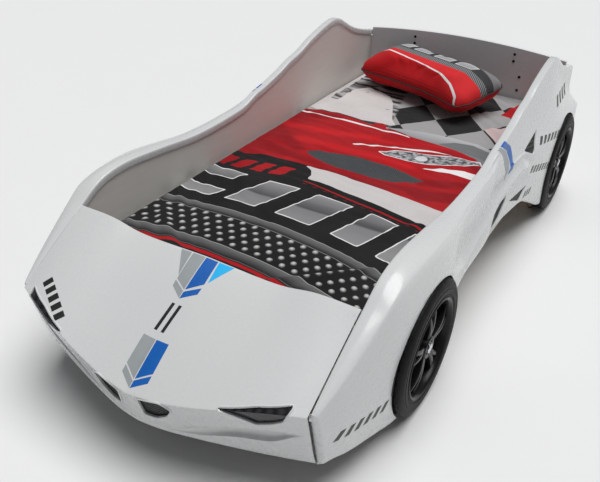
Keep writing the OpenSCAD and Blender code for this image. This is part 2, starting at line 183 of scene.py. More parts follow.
def smooth(obj, angle=35):
    obj.data.polygons.foreach_set("use_smooth", [True] * len(obj.data.polygons))
    obj.data.set_sharp_from_angle(angle=math.radians(angle))


def finish_piece(obj, material, body="root", replaces=(), angle=35):
    """Common ending of every piece: material, shading, body and the CAD nodes it stands for."""
    obj.data.materials.clear()
    obj.data.materials.append(material)
    smooth(obj, angle)
    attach(obj, body)
    if replaces:
        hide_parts(*replaces)
    return obj


def coordinates(obj):
    co = np.zeros(len(obj.data.vertices) * 3)
    obj.data.vertices.foreach_get("co", co)
    return co.reshape(-1, 3)


def set_coordinates(obj, co):
    obj.data.vertices.foreach_set("co", np.asarray(co, np.float32).ravel())
    obj.data.update()


def mirrored(obj, name):
    """Copy of obj on the other side of X = 0."""
    copy = linked(name, obj.data.copy())
    copy.data.transform(Matrix.Scale(-1, 4, (1, 0, 0)))
    copy.data.flip_normals()
    return copy


def grid_faces(rows, columns, closed=False):
    """Quads over a rows x columns grid, the column being the fast index."""
    last = columns if closed else columns - 1
    return [(j * columns + i, j * columns + (i + 1) % columns,
             (j + 1) * columns + (i + 1) % columns, (j + 1) * columns + i)
            for j in range(rows - 1) for i in range(last)]


def hoop_faces(rows, columns):
    """Quads over a grid that is closed both ways."""
    return [tuple(v % (rows * columns) for v in f) for f in grid_faces(rows + 1, columns, closed=True)]


def capped_faces(rows, columns):
    """Quads over a tube of rows rings, and a cap at each end."""
    return grid_faces(rows, columns, closed=True) + [tuple(range(columns))[::-1],
                                                     tuple(range((rows - 1) * columns, rows * columns))]


def creased_surface(name, stations, creases):
    """Subdivision surface through a list of equal-length rows of bed points.

    creases gives, for a row index, the function from station number to crease strength."""
    n = len(stations[0])
    points = [p for s in stations for p in s]
    obj = new_object(name, to_row(points), grid_faces(len(stations), n))
    mesh = obj.data
    layer = mesh.attributes.new("crease_edge", "FLOAT", "EDGE")
    for edge in mesh.edges:
        a, b = sorted(edge.vertices)
        if b - a == n and a % n in creases:
            layer.data[edge.index].value = creases[a % n](a // n)
    return subdivided(obj, 2)


def prism(name, outline, depth):
    """Closed prism across the bed over an outline of (u, z), between the two values of x in depth."""
    n = len(outline)
    area = sum(outline[i][0] * outline[(i + 1) % n][1] - outline[(i + 1) % n][0] * outline[i][1]
               for i in range(n))
    ring = outline if area > 0 else outline[::-1]
    points = [(x, u, z) for x in depth for u, z in ring]
    faces = [tuple(range(n))[::-1], tuple(range(n, 2 * n))]
    faces += [(i, (i + 1) % n, n + (i + 1) % n, n + i) for i in range(n)]
    return outward(new_object(name, to_row(points), faces))


def carve(obj, cutters):
    for cutter in cutters:
        modifier(obj, "BOOLEAN", operation="DIFFERENCE", object=cutter, solver="EXACT")
        applied(obj)
        bpy.data.objects.remove(cutter)
    return obj


# shortest side of an outline that is cut along, and how near a cut may pass a vertex, in metres
SHORTEST, MERGED = 1e-7, 2e-6


def cut_along(obj, outlines, axes, depth, inside):
    """Cuts an open surface along outlines and keeps what lies inside or outside them.

    axes names the two row-frame axes of the outlines, in bed millimetres; only faces whose centre
    lies within depth along the third axis are cut."""
    p, q = axes
    w = 3 - p - q
    offset = [0, HOOD_Y, 0]
    low, high = (d * MM + offset[w] for d in depth)
    with editing(obj) as bm:
        chosen = set()
        for outline in outlines:
            ring = [Vector((a * MM + offset[p], b * MM + offset[q])) for a, b in outline]
            near = [f for f in bm.faces
                    if low < f.calc_center_median()[w] < high and overlaps(f, ring, p, q)]
            for a, b in zip(ring, ring[1:] + ring[:1]):
                near = split(bm, near, a, b, p, q)
            chosen |= {f for f in near if within(f.calc_center_median(), ring, p, q)}
        drop = [f for f in bm.faces if f not in chosen] if inside else list(chosen)
        bmesh.ops.delete(bm, geom=drop, context="FACES")
    return obj


def split(bm, faces, a, b, p, q):
    """Cuts the faces near the segment a-b along its line; returns all the faces there are then."""
    cut = [f for f in faces if overlaps(f, (a, b), p, q)]
    rest = set(faces) - set(cut)
    place, normal = Vector((0, 0, 0)), Vector((0, 0, 0))
    place[p], place[q], normal[p], normal[q] = a.x, a.y, b.y - a.y, a.x - b.x
    if not cut or normal.length < SHORTEST:
        return faces
    parts = list({g for f in cut for g in (*f.verts, *f.edges)}) + cut
    result = bmesh.ops.bisect_plane(bm, geom=parts, dist=MERGED, plane_co=place,
                                    plane_no=normal.normalized())
    return list(rest) + [g for g in result["geom"] if isinstance(g, bmesh.types.BMFace)]


def overlaps(face, ring, p, q):
    """True if the face's box touches the box round the ring's points."""
    slack = 0.2 * MM
    fp, fq = [v.co[p] for v in face.verts], [v.co[q] for v in face.verts]
    rp, rq = [r.x for r in ring], [r.y for r in ring]
    return (min(fp) < max(rp) + slack and max(fp) > min(rp) - slack
            and min(fq) < max(rq) + slack and max(fq) > min(rq) - slack)


def within(point, ring, p, q):
    """True if the point lies inside the ring, seen along the third axis."""
    x, y = point[p], point[q]
    odd = False
    for a, b in zip(ring, ring[1:] + ring[:1]):
        if (a.y > y) != (b.y > y) and x < a.x + (y - a.y) / (b.y - a.y) * (b.x - a.x):
            odd = not odd
    return odd


def rounded(outline, radius, steps=4):
    """Outline with each corner replaced by a short curve that starts radius away from it."""
    out = []
    n = len(outline)
    longest = 0.4
    for i in range(n):
        a, b, c = (np.array(outline[k % n], float) for k in (i - 1, i, i + 1))
        da, dc = np.linalg.norm(a - b), np.linalg.norm(c - b)
        r = min(radius, da * longest, dc * longest)
        p, q = b + (a - b) / da * r, b + (c - b) / dc * r
        for k in range(steps + 1):
            s = k / steps
            out.append(tuple((1 - s) ** 2 * p + 2 * s * (1 - s) * b + s * s * q))
    return out


def grown(outline, d):
    """Outline moved outwards by d."""
    p = np.array(outline, float)
    x, y = p[:, 0], p[:, 1]
    sign = 1 if np.sum(x * np.roll(y, -1) - np.roll(x, -1) * y) > 0 else -1
    t = np.roll(p, -1, 0) - np.roll(p, 1, 0)
    t /= np.maximum(np.linalg.norm(t, axis=1), 1e-9)[:, None]
    return [tuple(q) for q in p + sign * d * np.stack([t[:, 1], -t[:, 0]], 1)]


def resampled(points, step):
    """Evenly spaced points, about step apart, round a closed path."""
    p = np.array(list(points) + [points[0]], float)
    d = np.concatenate([[0], np.cumsum(np.linalg.norm(np.diff(p, axis=0), axis=1))])
    s = np.linspace(0, d[-1], max(int(d[-1] / step), 4), endpoint=False)
    return np.stack([np.interp(s, d, p[:, k]) for k in range(p.shape[1])], 1)


def tube(name, path, radius, normals=None, sides=10):
    """Round tube along a closed path of row-frame points."""
    path = np.asarray(path, float)
    n = len(path)
    t = np.roll(path, -1, 0) - np.roll(path, 1, 0)
    t /= np.linalg.norm(t, axis=1)[:, None]
    up = np.tile([0.0, 0.0, 1.0], (n, 1)) if normals is None else np.asarray(normals, float)
    side = np.cross(t, up)
    side /= np.linalg.norm(side, axis=1)[:, None]
    up = np.cross(side, t)
    angles = np.arange(sides) * 2 * math.pi / sides
    verts = [path[i] + radius * (math.cos(a) * side[i] + math.sin(a) * up[i])
             for i in range(n) for a in angles]
    return new_object(name, verts, hoop_faces(n, sides))


def lathe(name, profile, steps, shape=None):
    """Ring about the X axis from an (r, x) profile, closed through its first point."""
    verts = []
    for k in range(steps):
        a = k * 2 * math.pi / steps
        for i, (r, x) in enumerate(profile):
            rr = r + (shape(i, k) if shape else 0)
            verts.append((x, rr * math.cos(a), rr * math.sin(a)))
    return new_object(name, verts, hoop_faces(steps, len(profile)))


def joined(name, objects):
    """One object from several."""
    bm = bmesh.new()
    for o in objects:
        o.data.transform(o.matrix_world)
        bm.from_mesh(o.data)
        bpy.data.objects.remove(o)
    mesh = bpy.data.meshes.new(name)
    bm.to_mesh(mesh)
    bm.free()
    return linked(name, mesh)


# ---------------------------------------------------------------- materials

class Shader:
    """A Principled material under construction."""

    def __init__(self, name):
        self.material = bpy.data.materials.new(name)
        self.material.use_nodes = True
        self.tree = self.material.node_tree
        self.tree.nodes.clear()
        output = self.tree.nodes.new("ShaderNodeOutputMaterial")
        self.surface = self.tree.nodes.new("ShaderNodeBsdfPrincipled")
        self.tree.links.new(self.surface.outputs[0], output.inputs[0])

    def set(self, **values):
        """Sets sockets of the shader: a number or colour, or a node's output."""
        for key, value in values.items():
            self.plug(self.surface.inputs[key.replace("_", " ")], value)
        return self

    def plug(self, socket, value):
        if isinstance(value, bpy.types.NodeSocket):
            self.tree.links.new(value, socket)
        elif hasattr(value, "__len__") and len(value) == 3 and socket.type == "RGBA":
            socket.default_value = (*value, 1)
        else:
            socket.default_value = value

    def node(self, kind, inputs=(), output=0, **settings):
        n = self.tree.nodes.new("ShaderNode" + kind)
        for key, value in settings.items():
            setattr(n, key, value)
        for key, value in dict(inputs).items():
            self.plug(n.inputs[key], value)
        return n.outputs[output]

    def math(self, operation, a, b=0.0):
        return self.node("Math", {0: a, 1: b}, operation=operation)

    def separate(self, vector):
        """The three components of a vector."""
        n = self.tree.nodes.new("ShaderNodeSeparateXYZ")
        self.plug(n.inputs[0], vector)
        return n.outputs

    def where(self):
        return self.node("TexCoord", output="Object")

    def noise(self, scale, detail=3, roughness=0.5, vector=None):
        return self.node("TexNoise", {"Vector": vector or self.where(), "Scale": scale,
                                      "Detail": detail, "Roughness": roughness})

    def blend(self, factor, a, b):
        n = self.tree.nodes.new("ShaderNodeMix")
        n.data_type = "RGBA"
        self.plug(n.inputs[0], factor)
        self.plug(n.inputs[6], a)
        self.plug(n.inputs[7], b)
        return n.outputs[2]

    def span(self, value, low, high, to_low=0.0, to_high=1.0):
        return self.node("MapRange", {0: value, 1: low, 2: high, 3: to_low, 4: to_high})

    def varied(self, scale, detail, low, high):
        """Value that wanders between low and high over the surface."""
        return self.span(self.noise(scale, detail), 0.3, 0.7, low, high)

    def bump(self, height, strength, distance):
        return self.node("Bump", {"Height": height, "Strength": strength, "Distance": distance})

    def attribute(self, name, output="Fac"):
        return self.node("Attribute", attribute_name=name, output=output)


def gloss_white():
    """Vacuum-formed glossy sheet with a faint orange peel."""
    s = Shader("shell_white")
    tint = s.blend(s.noise(3, 2), (0.66, 0.675, 0.68), (0.71, 0.715, 0.71))
    s.set(Base_Color=tint, Roughness=s.varied(40, 2, 0.26, 0.29),
          Coat_Weight=0.25, Coat_Roughness=0.08, Normal=s.bump(s.noise(450, 1), 0.01, 0.0001))
    return s.material


def plain_plastic(name, colour, rough, grain=0.25, scale=900, shine=0.5):
    """Moulded plastic, rubberised tape or ink, with a grain of the given strength and scale."""
    s = Shader(name)
    lighter = tuple(min(c * 1.35 + 0.004, 1) for c in colour)
    s.set(Base_Color=s.blend(s.noise(18, 4), colour, lighter),
          Roughness=s.varied(90, 3, rough * 0.85, rough * 1.15),
          Specular_IOR_Level=shine,
          Normal=s.bump(s.noise(scale, 2), grain, 0.0004))
    return s.material


def laminate(name, colour):
    """Matt melamine face of a fibreboard panel with a fine pressed grain."""
    s = Shader(name)
    stretched = s.node("Mapping", {"Vector": s.where(), "Scale": (6, 1, 6)})
    cloud = s.noise(9, 4, vector=stretched)
    darker = tuple(c * 0.9 for c in colour)
    s.set(Base_Color=s.blend(cloud, darker, colour), Roughness=s.span(cloud, 0.3, 0.7, 0.5, 0.62),
          Normal=s.bump(s.noise(420, 3), 0.18, 0.0005))
    return s.material


def fibreboard():
    s = Shader("fibreboard_raw")
    s.set(Base_Color=s.blend(s.noise(700, 4), (0.36, 0.26, 0.16), (0.56, 0.44, 0.3)), Roughness=0.85,
          Normal=s.bump(s.noise(500, 4), 0.4, 0.0006))
    return s.material


def pine():
    """Planed softwood with growth rings drawn out along each slat."""
    s = Shader("slat_pine")
    along = s.node("Mapping", {"Vector": s.where(), "Scale": (1.2, 30, 30)})
    grain = s.node("TexWave", {"Vector": along, "Scale": 1.1, "Distortion": 7, "Detail": 3,
                               "Detail Scale": 1.3}, bands_direction="Y", output="Fac")
    fine = s.noise(14, 5, vector=along)
    both = s.math("ADD", s.math("MULTIPLY", grain, 0.6), s.math("MULTIPLY", fine, 0.4))
    s.set(Base_Color=s.blend(both, (0.70, 0.48, 0.26), (0.86, 0.68, 0.44)),
          Roughness=s.span(both, 0, 1, 0.5, 0.7), Normal=s.bump(both, 0.25, 0.0006))
    return s.material


def metal(name, colour, rough, metallic=1.0):
    s = Shader(name)
    s.set(Base_Color=s.blend(s.noise(35, 4), colour, tuple(min(c * 1.2, 1) for c in colour)),
          Metallic=metallic, Roughness=s.varied(140, 4, rough * 0.8, rough * 1.25),
          Normal=s.bump(s.noise(600, 2), 0.15, 0.0003))
    return s.material


def smoked_lens():
    """Glossy black headlight insert with faint slanted bands behind the surface."""
    s = Shader("headlight_smoked")
    turned = s.node("Mapping", {"Vector": s.where(), "Rotation": (0, 0.5, 0), "Scale": (26, 26, 60)})
    bands = s.node("TexWave", {"Vector": turned, "Scale": 0.5, "Distortion": 1.5}, output="Fac")
    s.set(Base_Color=s.blend(bands, (0.006, 0.006, 0.007), (0.03, 0.03, 0.033)), Roughness=0.2,
          Specular_IOR_Level=0.35, Coat_Weight=0.25, Coat_Roughness=0.04, Normal=s.bump(bands, 0.1, 0.001))
    return s.material


def black_mesh():
    """Black grille sheet with a fine diamond lattice."""
    s = Shader("grille_mesh")
    turned = s.node("Mapping", {"Vector": s.where(), "Rotation": (0, math.radians(45), 0)})
    x, _, z = s.separate(turned)
    pitch = 180
    a, b = (s.math("PINGPONG", s.math("MULTIPLY", v, pitch), 0.5) for v in (x, z))
    wire = s.span(s.math("MINIMUM", a, b), 0.10, 0.16, 1.0, 0.0)
    s.set(Base_Color=s.blend(wire, (0.004, 0.004, 0.004), (0.035, 0.036, 0.038)),
          Roughness=s.span(wire, 0, 1, 0.8, 0.4), Normal=s.bump(wire, 0.8, 0.0015))
    return s.material


def tyre_rubber():
    s = Shader("tyre_black")
    s.set(Base_Color=s.blend(s.noise(40, 5), (0.005, 0.005, 0.005), (0.013, 0.013, 0.013)),
          Roughness=s.varied(120, 4, 0.45, 0.62), Specular_IOR_Level=0.14,
          Normal=s.bump(s.noise(900, 3), 0.3, 0.0004))
    return s.material


def ticking():
    """White mattress ticking: knitted rib with stitched diamonds in the geometry."""
    s = Shader("mattress_ticking")
    knit = s.node("TexWave", {"Vector": s.where(), "Scale": 260, "Distortion": 1.2}, output="Fac")
    s.set(Base_Color=s.blend(s.noise(30, 4), (0.74, 0.73, 0.70), (0.84, 0.83, 0.80)), Roughness=0.9,
          Sheen_Weight=0.3, Normal=s.bump(s.math("ADD", knit, s.noise(600, 2)), 0.35, 0.0006))
    return s.material


WHITE = gloss_white()
CREAM = laminate("board_cream", (0.86, 0.84, 0.79))
PALE = laminate("board_pale_grey", (0.78, 0.79, 0.80))
RAW = fibreboard()
PINE = pine()
STEEL = metal("zinc_steel", (0.55, 0.56, 0.57), 0.35)
COATED = metal("powder_coat", (0.035, 0.036, 0.04), 0.5, 0.0)
BOLT = metal("black_oxide", (0.02, 0.02, 0.022), 0.4, 0.6)
LENS = smoked_lens()
MESH = black_mesh()
RUBBER = tyre_rubber()
RIM = plain_plastic("rim_black", (0.007, 0.007, 0.008), 0.3, 0.1, 500, shine=0.22)
CAP = metal("hub_silver", (0.62, 0.63, 0.65), 0.22)
DARK = plain_plastic("dark_moulding", (0.03, 0.03, 0.032), 0.55)
DECAL_BLUE = plain_plastic("decal_blue", (0.003, 0.10, 0.40), 0.4, 0.08, 400)
DECAL_SKY = plain_plastic("decal_sky", (0.01, 0.42, 0.86), 0.4, 0.08, 400)
DECAL_SILVER = plain_plastic("decal_silver", (0.29, 0.31, 0.32), 0.4, 0.08, 400)
DECAL_BLACK = plain_plastic("decal_black", (0.012, 0.012, 0.013), 0.4, 0.08, 400)
TICKING = ticking()
BINDING = plain_plastic("binding_tape", (0.05, 0.012, 0.014), 0.75, 0.5, 1500)

# ---------------------------------------------------------------- side shells

# tables of [u, value]: heights and distances from the middle along the left shell ...
CREST = [[-237, 331], [-120, 406], [0, 477], [24, 486], [46, 506], [80, 520], [120, 530], [180, 535],
         [230, 533], [310, 525], [410, 514], [510, 501], [600, 498], [700, 500], [835, 509],
         [890, 532], [950, 542], [1080, 574], [1150, 598], [1220, 610], [1270, 632], [1350, 655],
         [1460, 680], [1530, 684], [1584, 660], [1691, 605], [1840, 562], [1905, 548]]
SHOULDER_Z = [[-237, 324], [-150, 378], [-100, 408], [0, 468], [50, 500], [120, 512], [190, 518],
              [270, 519], [333, 513], [450, 498], [600, 478], [835, 472], [880, 452], [1100, 462],
              [1500, 452], [1666, 446], [1800, 436], [1905, 400]]
SHOULDER_X = [[-237, 472], [-150, 492], [0, 516], [100, 526], [200, 532], [300, 532], [450, 524],
              [600, 512], [835, 508], [880, 500], [1000, 508], [1200, 522], [1400, 535], [1600, 540],
              [1800, 540], [1905, 537]]
FLANK_X = [[-237, 477], [-200, 486], [-150, 500], [-80, 514], [0, 528], [100, 541], [200, 547],
           [300, 549], [400, 545], [500, 534], [620, 525], [800, 520], [1000, 523], [1200, 532],
           [1350, 542], [1500, 549], [1666, 551], [1800, 549], [1905, 541]]
BOTTOM = [[-237, 132], [-160, 130], [0, 92], [60, 72], [100, 60], [262, 60], [380, 130], [487, 235],
          [720, 246], [890, 258], [1040, 253], [1170, 238], [1280, 190], [1430, 110], [1490, 84],
          [1666, 84], [1905, 92]]
RIDGE = [[480, 310], [650, 335], [850, 362], [1000, 392], [1150, 408], [1300, 405]]
# ... and how strongly the door panel, the pod behind it and the wall's groove are present
DOOR = [[400, 0], [520, 1], [1130, 1], [1230, 0]]
RAIL_X = [[-237, 465], [-150, 471], [-20, 484], [1905, 484]]
POD = [[430, 0], [560, 1], [905, 1], [940, 0]]
POD_TOP_END = [[915, 0], [975, 1]]
POD_SIDE_END = [[955, 0], [1035, 1]]
GROOVE = [[790, 0], [860, 1], [1905, 1]]
WALL_DROP = [[915, 0], [975, 44], [1150, 54], [1350, 60], [1600, 58], [1700, 62], [1905, 84]]
REAR_FLARE = [[1500, 0], [1905, 1]]
BEHIND_X = [[1035, 502], [1150, 510], [1300, 524], [1500, 536], [1905, 538]]
BEHIND_Z = [[1035, 446], [1150, 448], [1400, 440], [1700, 420], [1905, 392]]


def side_section(u):
    """Control points of the left side shell at u, from the inner lip round to the lower return."""
    c, sz, sx = curve(CREST, u), curve(SHOULDER_Z, u), curve(SHOULDER_X, u)
    fx, b, r = curve(FLANK_X, u), curve(BOTTOM, u), curve(RIDGE, u)
    d, rx = ramp(DOOR, u), curve(RAIL_X, u)
    pod, groove, flare = ramp(POD, u), ramp(GROOVE, u), ramp(REAR_FLARE, u)
    top_end, side_end = ramp(POD_TOP_END, u), ramp(POD_SIDE_END, u)
    flank = sz - (sz - b) * 0.3
    low = flank - b
    wall = c - 3 - ramp(WALL_DROP, u)
    foot = (mix(mix(rx, sx, 0.3), rx + 2, groove), mix(mix(c, sz, 0.12), c - 7, groove))
    brow = (mix(mix(rx, sx, 0.72), mix(rx, sx, 0.66), pod), mix(mix(c, sz, 0.5), mix(c, sz, 0.16), pod))
    behind_foot = (rx + 3, wall)
    behind_brow = (mix(rx + 4, sx, mix(0.30, 0.12, flare)), mix(wall, sz, 0.55))
    foot = tuple(mix(a, e, top_end) for a, e in zip(foot, behind_foot))
    brow = tuple(mix(a, e, top_end) for a, e in zip(brow, behind_brow))
    shoulder = (mix(sx, curve(BEHIND_X, u), side_end), mix(sz, curve(BEHIND_Z, u), side_end))
    return [
        (LIP_X, c - 22), (LIP_X, c - 4), (LIP_X + 3, c), (rx - 1, c + 0.5), foot, brow,
        shoulder,
        (mix(fx - 4, sx + 0.5, d), mix(sz - (sz - b) * 0.12, mix(sz, r + 30, 0.35), d)),
        (mix(fx - 1, sx - 3, d), mix(flank, mix(sz, r + 30, 0.8), d)),
        (mix(fx, sx - 2, d), mix(flank - low * 0.12, r + 27, d)),
        (mix(fx, sx + 6, d), mix(flank - low * 0.2, r + 15, d)),
        (mix(fx, sx + 19, d), mix(flank - low * 0.3, r, d)),
        (mix(fx, sx + 15, d), mix(flank - low * 0.4, r - 8, d)),
        (mix(fx, sx + 4, d), mix(flank - low * 0.55, mix(r, b, 0.25), d)),
        (mix(fx, sx + 7, d), mix(flank - low * 0.7, mix(r, b, 0.55), d)),
        (mix(fx - 1, sx + 12, d), mix(flank - low * 0.85, mix(r, b, 0.84), d)),
        (mix(fx - 4, sx + 11, d), b + 5), (mix(fx - 9, sx + 4, d), b), (mix(fx - 30, sx - 16, d), b + 2)]


# stations along the side shell, and the outlines (u, z) of its openings
SIDE_US = [TIP_U, -228, -205, -170, -130, -80, -30, 10, 40, 75, 115, 165, 215, 262, 320, 380, 440, 487,
           540, 600, 660, 720, 780, 830, 870, 905, 930, 955, 980, 1005, 1035, 1070, 1110, 1150, 1190, 1230,
           1290, 1350, 1420, 1480, 1530, 1570, 1620, 1666, 1730, 1790, 1840, 1880, END_U]
UPPER_VENT = [(1148, 450), (1290, 484), (1227, 414)]
LOWER_VENT = [(1030, 306), (1210, 297), (1140, 262)]
SLASH = [(998, 345), (988, 322), (937, 283), (880, 260), (862, 274), (905, 312), (950, 336)]


def arch_cutter(u):
    sides = 160
    ring = [(u + ARCH_R * math.cos(a), AXLE_Z + ARCH_R * math.sin(a))
            for a in np.arange(sides) * 2 * math.pi / sides]
    return prism("cutter", ring, (BOARD_OUT + 4, WHEEL_OUT + 20))


def side_creases():
    """Crease strength of the lengthwise rows as functions of the station number."""
    along = {2: [[-237, 0.6]], 3: [[-237, 0.5], [700, 0.6], [900, 0.75]],
             4: [[800, 0], [870, 0.5], [1905, 0.3]], 5: [[430, 0], [560, 0.6], [930, 0.6], [980, 0]],
             6: [[-237, 0.6], [100, 0.25], [300, 0.3], [500, 0.3], [900, 0.4], [1000, 0.2], [1905, 0.5]],
             9: [[430, 0], [560, 0.5], [1150, 0.5], [1230, 0]],
             11: [[430, 0], [560, 0.7], [1150, 0.7], [1230, 0]],
             16: [[-237, 0.5]], 17: [[-237, 0.8]]}
    added_in_front, last = 2, len(SIDE_US) - 1
    return {row: (lambda j, t=table: ramp(t, SIDE_US[min(max(j - added_in_front, 0), last)]))
            for row, table in along.items()}


def turned_in(u, back, reach, inner):
    """Station that closes an end of the shell: the flank rows of the section pulled towards inner."""
    first_flank_row = 4
    return [(x if k < first_flank_row else mix(x, inner, reach), u + back + rake(u, z), z)
            for k, (x, z) in enumerate(side_section(u))]


def rake(u, z):
    """How far the front end of the shell leans back at height z, to stay flush with the nose."""
    most = 46
    return most * ramp([[130, 1], [331, 0]], z) * ramp([[TIP_U, 1], [-120, 0]], u)


def side_base():
    """Outer surface of the left shell, without its openings."""
    stations = [[(x, u + rake(u, z), z) for x, z in side_section(u)] for u in SIDE_US[1:-1]]
    front = [turned_in(TIP_U, back, reach, LIP_X) for back, reach in ((2, 1), (0, 0.6), (3, 0))]
    rear = [turned_in(END_U, back, reach, inner)
            for back, reach, inner in ((-4, 0, BOARD_OUT), (0, 0.12, BOARD_OUT), (0, 0.95, BOARD_OUT + 1))]
    return creased_surface("side_base", front + stations + rear, side_creases())


def build_side_shells():
    skin = thickened(side_base(), SHELL_T)
    cutters = [arch_cutter(u) for u in (FRONT_U, REAR_U)]
    cutters += [prism("cutter", rounded(v, r), FLANK_DEPTH)
                for v, r in ((UPPER_VENT, 8), (LOWER_VENT, 8), (SLASH, 3))]
    carve(skin, cutters)
    bevelled(skin, EDGE_R, 50)
    applied(skin)
    right = mirrored(skin, "right_side_moulding")
    skin.name = "left_side_moulding"
    for side, piece in (("left", skin), ("right", right)):
        finish_piece(piece, WHITE, replaces=[f"{side}_side_shell"], angle=40)


def build_side_plates():
    """Black sheets glued behind the openings of the side shells; they follow the shell's inner face. The black sheet
    behind the slash is painted shade for a deep recess.
    """
    # the slash's black sheet is painted shade: it stands for the shadow inside a deep recess of the flank
    for kind, outline, in_cad in (("upper_vent", UPPER_VENT, True), ("lower_vent", LOWER_VENT, True),
                                  ("slash_shade", SLASH, False)):
        sheet = sheet_behind(f"left_{kind}_sheet", side_base(), grown(rounded(outline, 6), 7), SIDE_VIEW,
                             (BOARD_OUT + 8, WHEEL_OUT + 20), SHELL_T + 0.4)
        right = mirrored(sheet, f"right_{kind}_sheet")
        for side, piece in (("left", sheet), ("right", right)):
            finish_piece(piece, MESH, replaces=[f"{side}_{kind}"] if in_cad else ())


def build_arch_shade_bands():
    """Dark band behind the edge of each wheel arch, bent over a little more than half a turn: painted shade in place
    of the shaded inner flange of the white shell.
    """
    steps, outer, inner = 120, 538, 482
    section = ((ARCH_R + 1, outer), (ARCH_R + 1, inner), (ARCH_R + 3, inner), (ARCH_R + 3, outer))
    n = len(section)
    for u, end in ((FRONT_U, "front"), (REAR_U, "rear")):
        shade_band = []
        for k in range(steps + 1):
            a = math.pi * (-0.02 + 1.04 * k / steps)
            c, s = math.cos(a), math.sin(a)
            shade_band += [(x, u + r * c, AXLE_Z + r * s) for r, x in section]
        caps = [tuple(range(n)), tuple(range(steps * n, (steps + 1) * n))[::-1]]
        obj = new_object(f"{end}_left_arch_shade_band", to_row(shade_band),
                         grid_faces(steps + 1, n, closed=True) + caps)
        for o in (obj, mirrored(obj, f"{end}_right_arch_shade_band")):
            # the dark moulding colour here is painted shade inside the arch, not the colour of the white flange
            finish_piece(o, DARK)


# ---------------------------------------------------------------- hood and nose

# tables of [distance from the middle, value]: the edge between hood and fascia, the lower edge,
# the rear edge, and the recess of the fascia with its depth, ledge, foot and bead
CREASE_U = [[0, NOSE_U], [60, -343], [110, -337], [200, -322], [290, -303], [385, -275], [460, -244]]
CREASE_Z = [[0, 248], [60, 258], [110, 265], [200, 285], [290, 311], [385, 328], [460, 329]]
LOWER_U = [[0, -318], [60, -313], [110, -302], [200, -278], [290, -252], [385, -221], [460, -194]]
LOWER_Z = 129
HOOD_EDGE = 460
REAR_Z = [[0, 462], [230, 458], [330, 476], [460, 477]]
SCOOP = [[105, 0], [200, 12], [300, 18], [390, 16], [430, 0]]
LEDGE_Z = [[0, 152], [113, 158], [160, 183], [210, 207], [261, 228], [299, 237], [335, 244], [366, 248],
           [401, 253], [460, 258]]
RECESS_Z = [[0, 146], [110, 149], [151, 152], [202, 166], [252, 186], [292, 196], [340, 200], [372, 205],
            [400, 229], [424, 246], [460, 250]]
BEAD_Z = [[0, 138], [200, 140], [279, 146], [329, 157], [381, 177], [460, 189]]
# how far along the bed a cut through the fascia, and how high a cut through the hood, may reach
NOSE_DEPTH, HOOD_DEPTH, ABOVE_CREASE = (NOSE_U - 30, -120), (240, 520), (308, 520)
# stations across the hood, and the outlines (x, z) of the fascia's openings
HOOD_XS = [0, 14, 45, 90, 130, 170, 205, 240, 275, 305, 335, 365, 395, 420, 440, 451, HOOD_HALF]
HEADLIGHT = [(251, 303), (283, 294), (306, 286), (339, 272), (375, 285), (401, 300), (419, 343),
             (342, 329), (296, 316)]
GRILLE = [(32, 244), (100, 261), (126, 243), (107, 209), (74, 188), (38, 186)]
INTAKE = [(205, 209), (235, 222), (261, 232), (299, 241), (335, 248), (366, 252), (402, 257), (380, 240),
          (364, 238), (335, 239), (273, 224), (209, 202)]


def hood_section(x):
    """Control points of the hood at a distance x from the centre, from the rear lip to the lower return."""
    a = abs(x)
    r, cu, cz = curve(REAR_Z, a), curve(CREASE_U, a), curve(CREASE_Z, a)
    lu, lz, s = curve(LOWER_U, a), LOWER_Z, curve(SCOOP, a)
    crown = 15 * (1 - a / HOOD_EDGE)

    def top(t, k):
        return (mix(-5, cu, t), mix(r, cz, t) + crown * k)

    def face(z, inset=0.0):
        return (mix(cu, lu, (cz - z) / (cz - lz)) + inset, z)

    ledge, foot, bead = curve(LEDGE_Z, a), curve(RECESS_Z, a), curve(BEAD_Z, a)
    return [(0, r - 34), (0, r - 5), (-5, r), top(0.1, 0.5), top(0.3, 1), top(0.6, 1), top(0.85, 0.5),
            top(0.96, 0.12), (cu, cz), face(mix(cz, ledge, 0.1), 1), face(mix(cz, ledge, 0.6), 1),
            face(ledge), face(ledge - 2, s), face(mix(ledge, foot, 0.75), s), face(foot), face(bead, -2), face(lz + 5),
            (lu + 4, lz), (lu + 26, lz + 1)]


def flipped(outline):
    """The same outline on the other side of the middle."""
    return [(-p, q) for p, q in outline]


def hood_base(name):
    """Outer surface of hood and fascia, without its openings."""
    xs = [-x for x in HOOD_XS[:0:-1]] + HOOD_XS
    stations = [[(x, u, z) for u, z in hood_section(x)] for x in xs]
    creases = {2: lambda j: 0.5, 8: lambda j: 0.85, 17: lambda j: 0.7, 15: lambda j: 0.4,
               11: lambda j: 0.8 * ramp([[100, 0], [200, 1], [410, 1], [440, 0]], abs(xs[j])),
               12: lambda j: 0.6 * ramp([[150, 0], [220, 1], [400, 1], [440, 0]], abs(xs[j])),
               14: lambda j: 0.6}
    return creased_surface(name, stations, creases)


def on_hood(tree, outline, lift):
    """Drops outline points (x, z) onto the nose along +Y; returns row points and normals."""
    points, normals = [], []
    in_front = NOSE_U - 200
    for p, q in outline:
        start = Vector((p * MM, HOOD_Y + in_front * MM, q * MM))
        hit, normal, _, _ = tree.ray_cast(start, Vector((0, 1, 0)))
        points.append(hit + normal * lift)
        normals.append(normal)
    return points, normals


FASCIA_OPENINGS = {"headlight": rounded(HEADLIGHT, 7), "grille": rounded(GRILLE, 9),
                   "intake": rounded(INTAKE, 5)}


